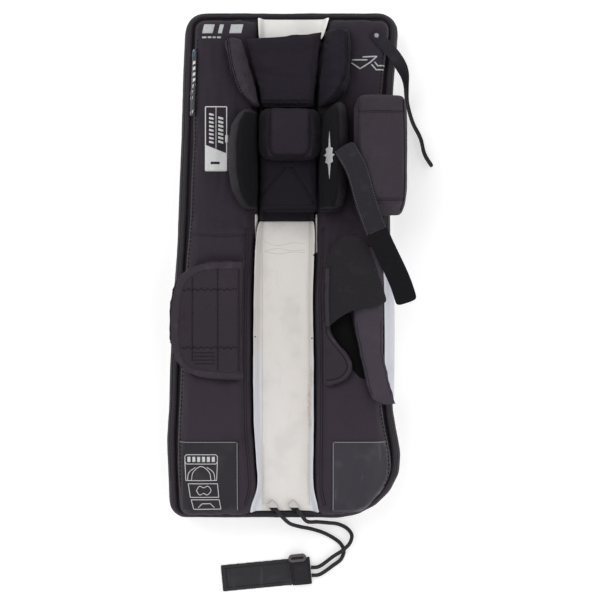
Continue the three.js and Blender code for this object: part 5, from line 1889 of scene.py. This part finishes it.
class Sheets:
    """Every sheet and strap."""

    def __init__(self) -> None:
        """Lists the sheets."""
        self.sheets = (
            SewnSheet("channel_lining", "channel_lining_skin", "channel_lining", FINISH.channel, (113, 365),
                      rests_on=("core_cover", "outer_riser_pad", "medial_riser_pad"), crease=Crease(0.5, 18)),
            SewnSheet("knee_lining", "knee_lining_cloth", "body_nylon", FINISH.lining, (94, 225),
                      rests_on=("core_cover",)),
            SewnSheet("top_panel", "top_panel_skin", "channel_lining", FINISH.top_skin, (91, 34),
                      rests_on=("core_cover",)),
            SewnSheet("ribbon_tag", "woven_tag", "tag_ribbon", FINISH.tag_dark, (14, 84),
                      rests_on=("outer_riser_pad",)),
            SewnSheet("gusset_medial", "medial_gusset", "white_leather", FINISH.gusset, (67, 200),
                      rests_on=("core_cover", "back_bead_cord", "medial_riser_pad")),
            SewnSheet("elastic_band", "calf_elastic", "elastic", FINISH.elastic, (82, 119), "stretched",
                      ("medial_calf_flap", "medial_calf_strip"), 0.0066,
                      crease=Crease(0.9, 26, (1.4, 0.6, 1)), shift=lower_elastic),
            SewnSheet("knee_strap", "wide_strap", "webbing", FINISH.webbing, (28, 237), "draped",
                      ("medial_cradle_wing", "knee_block_pad"), angle=114),
            SewnSheet("thigh_strap", "thin_strap", "webbing", FINISH.webbing, (20, 191), "draped",
                      ("medial_riser_pad",), angle=115),
        )

    def build(self) -> dict[str, Piece]:
        """Makes the sheets, by the names of their CAD nodes."""
        return {sheet.node: sheet.build() for sheet in self.sheets}


def boot_patch(node: str, riser: Piece, sign: int, inner: float, finish: Leather) -> Piece:
    """A boot patch: a leather panel laid over a riser's toe end, straight on its channel side.

    Args:
        node: the CAD node that it stands for.
        riser: the riser that it lies on.
        sign: 1 on the medial side, -1 on the outer side.
        inner: where its channel side is, across the pad in millimetres.
        finish: its leather.

    Returns:
        The piece.
    """
    names = {"boot_patch_outer": "outer_boot_patch", "boot_patch_medial": "medial_boot_patch"}
    edge = side_line(riser, sign, -305, -217, 5.0, 4.5)
    outline = [(inner, -217), (inner, -305), *edge, (edge[-1][0], -217)]
    laid = Laid(names[node], finish, "boot_leather")
    laid.shape(tree_of(riser), outline, 0.9, 3.0)
    obj = laid.make()
    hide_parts(node)
    wide = max(abs(x - inner) for x, _ in edge) + 4
    wide * MM
    return obj


class Details:
    """Seams, piping, bindings, stitches, labels and prints on the pad's pieces."""

    def __init__(self, pieces: dict[str, Piece]) -> None:
        """Keeps the pieces by CAD node, with a search tree of each that something is laid on."""
        self.pieces = pieces
        self.trees = {node: tree_of(obj) for node, obj in pieces.items()}

    def tree(self, node: str) -> BVHTree:
        """The search tree of the piece that stands for a CAD node."""
        return self.trees[node]

    def build(self) -> None:
        """Makes all of them."""
        self.risers()
        self.rim()
        self.channel()
        self.cradle()
        self.thigh()
        self.block()
        self.flaps()
        self.straps()
        self.boot()
        self.prints()
        self.labels()

    def risers(self) -> None:
        """Seams of the long pads beside the channel."""
        seams = Laid("riser_seam_lines", FINISH.seam, "pad_nylon")
        stitches = Stitching("riser_seam_stitches", FINISH.seam, "pad_nylon")
        for node, line, off, radius in (("riser_outer", OUTER_SEAM, 2.6, 0.5),
                                        ("riser_medial", MEDIAL_SEAM, -2.6, 0.5),
                                        ("riser_outer", CROSS_SEAM, 2.4, 0.3)):
            seams.line(self.tree(node), line, radius, -0.15)
            stitches.sew(self.tree(node), beside(line, off))
        dashes = Stitching("riser_edge_dashes", FINISH.seam, "pad_nylon", 3.4, 5.2, 0.55)
        for node, sign in (("riser_outer", -1), ("riser_medial", 1)):
            edge = curve2(side_line(self.pieces[node], sign, -275, 290, 3.6, 6.0)[::3])
            dashes.sew(self.tree(node), edge)
        dashes.make()
        seams.make()
        stitches.make()

    def rim(self) -> None:
        """Bead lines and stitches on the body's rounded edge, and the welt where the face is sewn to the sides."""
        core = self.pieces["core"]
        lines = Laid("rim_seam_lines", FINISH.seam, "binding")
        stitches = Stitching("rim_stitches", FINISH.grey_seam, "binding", 2.0, 3.4, 0.26)
        for sign in (-1, 1):
            edge = side_line(core, sign, -268, 286, BEAD_INSET, 6.0)
            smooth = curve2(edge[::3])
            lines.line(self.tree("core"), smooth, 0.5, -0.1)
            stitches.sew(self.tree("core"), beside(smooth, 1.6 * sign))
        for y in (314.2, -314.2):
            end = curve2(((-112, y), (0, y), (112, y)))
            lines.line(self.tree("core"), end, 0.45, -0.1)
        lines.make()
        stitches.make()
        self.welt()

    def welt(self) -> None:
        """The welt round the body, between the face and the sides, with a row of quilting above it."""
        points = points_of(self.pieces["core"]) / MM
        squashed = points[:, 1] / 2.1
        angles = np.arctan2(squashed, points[:, 0])
        reach = np.hypot(points[:, 0], squashed)
        steps = 160
        welt = Laid("face_welt", FINISH.face, "white_leather")
        rows = Laid("side_seam_lines", FINISH.seam, "body_nylon")
        for height, laid, radius, out in ((8.6, welt, 1.3, 0.2), (26.0, rows, 0.45, -0.1)):
            near = np.abs(points[:, 2] - height) < 3.0
            ring = []
            for k in range(steps):
                turn = -math.pi + 2 * math.pi * k / steps
                gap = np.abs((angles - turn + math.pi) % (2 * math.pi) - math.pi)
                pick = near & (gap < 0.03)
                if pick.any():
                    far = points[pick][np.argmax(reach[pick])]
                    ring.append((float(far[0]), float(far[1]), height))
            path = []
            for x, y, z in curve3(ring, True, 3.0)[:-1]:
                place, normal, _, _ = self.tree("core").find_nearest(Vector((x, y, z)) * MM)
                outward = Vector((x, y / 4, 0)).normalized()
                path.append(Vector((place.x, place.y, z * MM)) + outward * (out * MM))
            laid.cord(path, radius, 8, True)
        welt.make()
        rows.make()

    def channel(self) -> None:
        """Seams, painted crease shade lines, tacks and the white edge strips of the leg channel."""
        tree = self.tree("channel_lining")
        seams = Laid("channel_seam_lines", FINISH.shade, "channel_lining")
        stitches = Stitching("channel_stitches", FINISH.white_seam, "channel_lining", 2.3, 3.4, 0.3)
        for x in (-29.5, 29.8):
            line = curve2(((x, 50), (x, -120), (x, -240), (x, -300)))
            seams.line(tree, line, 0.3, -0.05)
            stitches.sew(tree, beside(line[-40:], 2.0 if x < 0 else -2.0))
        # The three wavy grey lines across the top are painted shade in the lining's creases.
        for y, sway in ((26.5, 2.2), (19.0, -1.6), (15.5, 1.4)):
            seams.line(tree, curve2(((-27, y + sway), (-10, y - sway), (8, y + sway * 0.6), (24, y))), 0.2, 0.02)
        seams.make()
        stitches.make()
        tacks = Stitching("channel_tacks", FINISH.tack, "channel_lining", 2.0, 2.0, 0.8)
        for x, y in ((-38, 17), (-38.4, -89), (35, 12), (33, -91)):
            tacks.sew(tree, ((x, y - 1), (x, y + 1)))
        tacks.make()
        strips = Laid("channel_edge_strips", FINISH.face, "channel_lining")
        for node, x in (("riser_outer", -36.6), ("riser_medial", 37.4)):
            strips.strip(self.tree(node), curve2(((x, 15), (x, 40), (x, 63))), 3.0, 0.7)
        strips.make()

    def cradle(self) -> None:
        """Hem, rims and seams of the knee cradle, and the piping of its tongue."""
        hem = Laid("cradle_hem", FINISH.piping, "cradle_nylon")
        for node, line in (("cradle_wing_outer", ((-58, 70), (-52, 67.6), (-44, 66.8), (-34.5, 66.8))),
                           ("cradle_floor", ((-32, 66.8), (4, 66.8), (39, 66.8))),
                           ("cradle_wing_medial", ((41, 66.8), (52, 66.8), (60, 67.6), (66, 70)))):
            hem.line(self.tree(node), curve2(line, 1.0), 1.9, 0.2, 10)
        hem.make()
        stitches = Stitching("cradle_stitches", FINISH.seam, "cradle_nylon", 2.1, 3.0, 0.3)
        lines = Laid("cradle_seam_lines", FINISH.seam, "cradle_nylon")
        for line in FLOOR_SEAMS:
            lines.line(self.tree("cradle_floor"), zigzag(line[0], line[-1], 3.2, 0.9), 0.75, 0.05)
            stitches.sew(self.tree("cradle_floor"), beside(line, 2.0))
        for node, sign in (("cradle_wing_outer", -1), ("cradle_wing_medial", 1)):
            line = curve2(side_line(self.pieces[node], sign, 74, 184, WING_RIM, 4.0)[::2])
            lines.line(self.tree(node), line, 0.5, -0.1)
            stitches.sew(self.tree(node), beside(line, 1.8 * sign))
        lines.line(self.tree("cradle_floor"), curve2(((-31, 73.4), (38, 73.4))), 0.4, -0.05)
        tongue = self.tree("knee_tongue")
        piping = Laid("tongue_piping", FINISH.piping, "knee_nylon")
        piping.line(tongue, TONGUE_EDGE, 1.2, 0.1, 8)
        piping.make()
        stitches.sew(tongue, beside(TONGUE_EDGE, 2.4))
        lines.make()
        stitches.make()

    def thigh(self) -> None:
        """Piping, gathered seams and stitches of the thigh panel and its wings."""
        panel = self.tree("thigh_panel")
        piping = Laid("thigh_piping", FINISH.piping, "cradle_nylon")
        piping.line(panel, THIGH_FOOT, 1.5, 0.1, 8)
        gathers = Stitching("thigh_gathers", FINISH.seam, "cradle_nylon", 3.2, 3.6, 0.6)
        gathers.sew(panel, zigzag((-42, 198.4), (40, 198.4), 4, 1.2))
        gathers.sew(panel, curve2(((-42, 202), (40, 202))))
        outer = ((-43, 197), (-52, 205), (-60, 220), (-66, 240), (-70, 262), (-72, 276))
        medial = ((48, 197), (60, 206), (70, 222), (76, 244), (76, 268), (76, 288))
        for node, line in (("thigh_wing_outer", outer), ("thigh_wing_medial", medial)):
            smooth = curve2(line)
            piping.line(self.tree(node), smooth, 0.8, 0.1, 8)
            gathers.sew(self.tree(node), beside(smooth, 2.4 if line[0][0] > 0 else -2.4))
        piping.make()
        gathers.make()

    def block(self) -> None:
        """Seams and piping of the knee block."""
        tree = self.tree("knee_block")
        lines = Laid("block_seam_lines", FINISH.seam, "knee_nylon")
        stitches = Stitching("block_stitches", FINISH.seam, "knee_nylon", 2.2, 3.2, 0.3)
        for line, off in zip(BLOCK_SEAMS, (-2.2, -2.2, 2.2)):
            lines.line(tree, line, 0.5, -0.1)
            stitches.sew(tree, beside(line, off))
        lines.make()
        stitches.make()
        piping = Laid("block_piping", FINISH.piping, "knee_nylon")
        piping.line(tree, curve2(((142.4, 198), (143.4, 150), (143, 78), (141, 66))), 0.9, 0.1, 8)
        piping.make()

    def flaps(self) -> None:
        """Bindings and quilting of the calf flaps, and the loop pile between the flap and the strip, its near-black
        colour partly painted shadow of that gap.
        """
        outer, medial = self.tree("calf_flap_outer"), self.tree("calf_flap_medial")
        bindings = Laid("flap_bindings", FINISH.flap_binding, "flap_nylon")
        bindings.strip(outer, FLAP_RIM, 9.5, 0.9, columns=7)
        bindings.strip(medial, SMALL_FLAP_RIM, 6.0, 0.8)
        bindings.make()
        quilting = Stitching("flap_quilting", FINISH.seam, "flap_nylon", 2.6, 3.2, 0.46)
        for line in FLAP_QUILT:
            quilting.sew(outer, line)
        for y in (-108, -112.5, -117, -121.5):
            quilting.sew(outer, ((-112, y), (-85, y)))
        quilting.sew(outer, beside(FLAP_RIM, -5.6))
        quilting.sew(outer, beside(FLAP_RIM, -3.6))
        quilting.sew(medial, beside(SMALL_FLAP_RIM, 3.9))
        quilting.make()
        # The pile patch is near black, partly painted shadow of the deep gap between the flap and the strip.
        shadow_pile = Laid("loop_pile_patch", FINISH.shadow_pile, "flap_nylon")
        patch = ((55.5, -60), (80, -60), (84.5, -82), (90.5, -105), (94.5, -127), (97.5, -141), (91, -139),
                 (83, -130), (81, -121), (73, -108), (61, -92), (54.5, -78))
        shadow_pile.shape(self.tree("riser_medial"), patch, 0.55, 3.0)
        shadow_pile.make()
        edges = Laid("strip_edge_lines", FINISH.seam, "flap_nylon")
        for sign in (-1, 1):
            edge = side_line(self.pieces["calf_strip_medial"], sign, -160, -70, 3.2)
            edges.line(self.tree("calf_strip_medial"), curve2(edge[::2]), 0.4, -0.05)
        edges.make()

    def straps(self) -> None:
        """Hook tape, hems and edge stitches of the straps and the elastic."""
        wide = self.pieces["knee_strap"]
        zone(wide, FINISH.hook, lambda place: place.y / MM - 40 < 0.46 * (place.x / MM - 111) and place.z > 0.086)
        stitches = Stitching("strap_stitches", FINISH.grey_seam, "webbing", 2.2, 3.2, 0.26)
        for off in (-11.6, 11.6):
            stitches.sew(self.tree("knee_strap"), beside(WIDE_STRAP[:58], off))
        stitches.sew(self.tree("knee_strap"), ((102, 36.5), (124, 46)))
        stitches.make()
        elastic = self.tree("elastic_band")
        hem = Laid("elastic_hem", FINISH.flap_binding, "elastic")
        hem.strip(elastic, curve2(((51.5, -76), (50.4, -40), (51, -5))), 5.0, 0.5)
        hem.make()
        self.toe_strap()
        seam = Stitching("elastic_stitches", FINISH.seam, "elastic", 2.3, 3.1, 0.34)
        seam.sew(elastic, curve2(((55.4, -76), (54.4, -40), (55, -2))))
        seam.make()

    def toe_strap(self) -> None:
        """Stitches round the toe strap's tab and across its sleeve, and the loop inside its hook."""
        cord = ToeCord()
        tab, sleeve = self.tree("toe_tab"), self.tree("toe_sleeve")
        rows = Stitching("toe_strap_stitches", FINISH.seam, "boot_leather", 2.4, 3.2, 0.36)
        for line in (((-110, -12.2), (-28, -12.2)), ((-110, 12.2), (-28, 12.2)), ((-107.5, -12), (-107.5, 12))):
            rows.sew(tab, cord.in_plan(line))
        for line in (((-22, -12), (-22, 12)), ((-3, -12), (-3, 12))):
            rows.sew(sleeve, cord.in_plan(line))
        rows.make()
        low, high = (Vector(corner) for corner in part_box("toe_hook"))
        middle = (low + high) / 2
        ahead = (cord.on_strap(1, 0, 0) - cord.on_strap(0, 0, 0)).normalized()
        drop = Vector((0, 0, 0.6 * MM))
        loop = Laid("hook_loop", FINISH.toe_webbing, "boot_leather")
        loop.cord([middle + ahead * (t * MM) - drop for t in np.linspace(-8.4, 8.4, 12)], 1.35, 10)
        loop.make()

    def boot(self) -> None:
        """Light stitches along the boot patches, and a line drawing printed on the outer one."""
        stitches = Stitching("boot_patch_stitches", FINISH.boot_seam, "boot_leather", 2.6, 3.2, 0.5)
        edges = Laid("boot_patch_edges", FINISH.boot_seam, "boot_leather")
        outer, medial = self.tree("boot_patch_outer"), self.tree("boot_patch_medial")
        for tree, line in ((outer, ((-131, -218.6), (-61, -218.6))), (outer, ((-59.6, -219), (-59.6, -303))),
                           (medial, ((60, -218.6), (124, -218.6))), (medial, ((58.6, -219), (58.6, -303)))):
            smooth = curve2(line)
            edges.line(tree, smooth, 0.42, 0.1)
            stitches.sew(tree, smooth)
        edges.make()
        stitches.make()
        ink = Laid("boot_patch_print", FINISH.faint_ink, "boot_leather")
        frame = ((-122, -234), (-86, -234), (-84, -236), (-84, -243), (-86, -245.5), (-122, -245.5), (-124, -243),
                 (-124, -236), (-122, -234))
        lines = (frame, ((-124, -243), (-123, -266), (-85, -266), (-84, -243)),
                 curve2(((-116, -266), (-114, -256), (-104, -248.5), (-94, -256), (-92, -266)), 1.0),
                 curve2(((-121, -266), (-119, -256), (-111, -249.5)), 1.0),
                 curve2(((-87, -266), (-89, -256), (-97, -249.5)), 1.0),
                 ((-120, -270), (-84, -270), (-82.5, -287), (-117.5, -287), (-120, -270)),
                 curve2(((-110, -278.5), (-106, -273), (-101, -275), (-96, -273), (-92, -278.5), (-97, -284),
                         (-101, -282), (-106, -284), (-110, -278.5)), 1.0),
                 ((-116.5, -290), (-82, -290), (-80, -302), (-113.5, -302), (-116.5, -290)),
                 ((-108, -300), (-103, -295), (-93, -295), (-88, -300)))
        for line in lines:
            ink.strip(outer, dense(line, 1.0), 0.9, 0.2, 0.1, 3)
        for x in (-119, -113, -107, -101, -95, -89):
            ink.shape(outer, ((x - 1.9, -236.5), (x + 1.9, -236.5), (x + 1.9, -243), (x - 1.9, -243)), 0.2, 1.5)
        ink.make()

    def prints(self) -> None:
        """Plain prints on the thigh end and the medial cradle wing."""
        ink = Laid("thigh_end_prints", FINISH.ink, "pad_nylon")
        outer, medial = self.tree("riser_outer"), self.tree("riser_medial")
        for x, wide in ((-103.5, 13), (-84, 5), (-70, 15)):
            ink.shape(outer, ((x, 286.5), (x + wide, 286.5), (x + wide + 2.5, 298), (x + 2.5, 298)), 0.3, 1.5)
        for left, right in ((-103.5, -97.86), (-96.45, -91.75), (-90.34, -86.58), (-85.17, -80)):
            ink.strip(outer, curve2(((left, 281.5), (right, 281.5))), 2.2, 0.18, 0.1, 3)
        for line in (((81, 250), (92, 242.5), (104, 250), (113, 258), (95, 257)),
                     ((110, 251), (114, 246.5), (124, 247.5)), ((106, 248), (112, 241.5), (124, 242.5)),
                     ((82, 253.5), (101, 253.5))):
            ink.strip(medial, dense(line), 1.7, 0.25, 0.1, 3)
        wing = self.tree("cradle_wing_medial")
        diamond = ((53.5, 161), (54.6, 142), (57.6, 140), (56.6, 134), (59.6, 132), (56.8, 129.5), (57.6, 124),
                   (54.8, 122), (53.5, 103), (51.6, 121), (48.6, 124), (50, 130), (47, 132.5), (50, 135),
                   (49, 140), (52.2, 142))
        ink.shape(wing, diamond, 0.3, 1.5)
        ink.make()

    def labels(self) -> None:
        """The size label, the woven tag and the small side tag, with plain bars and blocks."""
        outer = self.tree("riser_outer")
        white = Laid("size_label_frame", FINISH.label, "tag_ribbon")
        corners = ((-99, 195), (-72.8, 195), (-72.8, 116), (-99, 116), (-99, 195))
        for a, b in zip(corners[:-1], corners[1:]):
            white.strip(outer, curve2((a, b)), 1.3, 0.4, 0.1, 3)
        white.strip(outer, curve2(((-86, 195), (-86, 143)), 3.0), 0.8, 0.3, 0.1, 3)
        white.shape(outer, ((-99, 116), (-72.8, 116), (-72.8, 137.4), (-99, 148)), 0.4, 2.0)
        for k in range(8):
            y = 150.5 + 4.9 * k
            white.shape(outer, ((-94.6, y), (-88.6, y - 1.2), (-88.6, y + 1.2), (-94.6, y + 2.6)), 0.4, 2.0)
            if k < 7:
                white.shape(outer, ((-83.2, y + 0.4), (-77, y - 1.2), (-77, y + 1.6), (-83.2, y + 3.2)), 0.4, 2.0)
        white.make()
        dark = Laid("size_label_mark", FINISH.seam, "tag_ribbon")
        dark.shape(outer, ((-92.5, 124.2), (-81.6, 124.2), (-81.6, 127), (-92.5, 127)), 0.8, 1.5)
        dark.make()
        tag = self.tree("ribbon_tag")
        blue = Laid("woven_tag_blue", FINISH.tag_blue, "tag_ribbon")
        blue.shape(tag, ((-119.2, 259), (-110.2, 259), (-110.2, 267.5), (-119.2, 267.5)), 0.2, 3.0)
        blue.make()
        pale = Laid("woven_tag_bars", FINISH.label, "tag_ribbon")
        for k in range(7):
            y = 204.5 + 7.2 * k
            pale.shape(tag, ((-118, y), (-110.4, y + 2), (-110.4, y + 6), (-118, y + 4)), 0.2, 3.0)
        pale.shape(tag, ((-118.6, 186), (-111.4, 190), (-112.4, 192.5), (-118.6, 190)), 0.2, 3.0)
        pale.shape(outer, ((-74.6, 150.5), (-71, 150.5), (-71, 160), (-74.6, 160)), 0.9, 2.0)
        pale.make()


def dress_rivet() -> None:
    """Gives the strap's rivet its metal finish."""
    dress(bpy.data.objects["strap_rivet"], FINISH.rivet)


def main() -> None:
    """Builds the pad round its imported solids."""
    logging.basicConfig(level=logging.INFO, format="%(message)s")
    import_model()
    Studio().build()
    strap = ToeCord().build()
    body = PadBody().build()
    pads = Cushions().build()
    sheets = Sheets().build()
    dress_rivet()
    patches = {
        "boot_patch_outer": boot_patch("boot_patch_outer", pads["riser_outer"], -1, -58.0, FINISH.boot),
        "boot_patch_medial": boot_patch("boot_patch_medial", pads["riser_medial"], 1, 57.0, FINISH.boot_medial),
    }
    Details({**body, **pads, **sheets, **patches, **strap}).build()


if __name__ == "__main__":
    main()
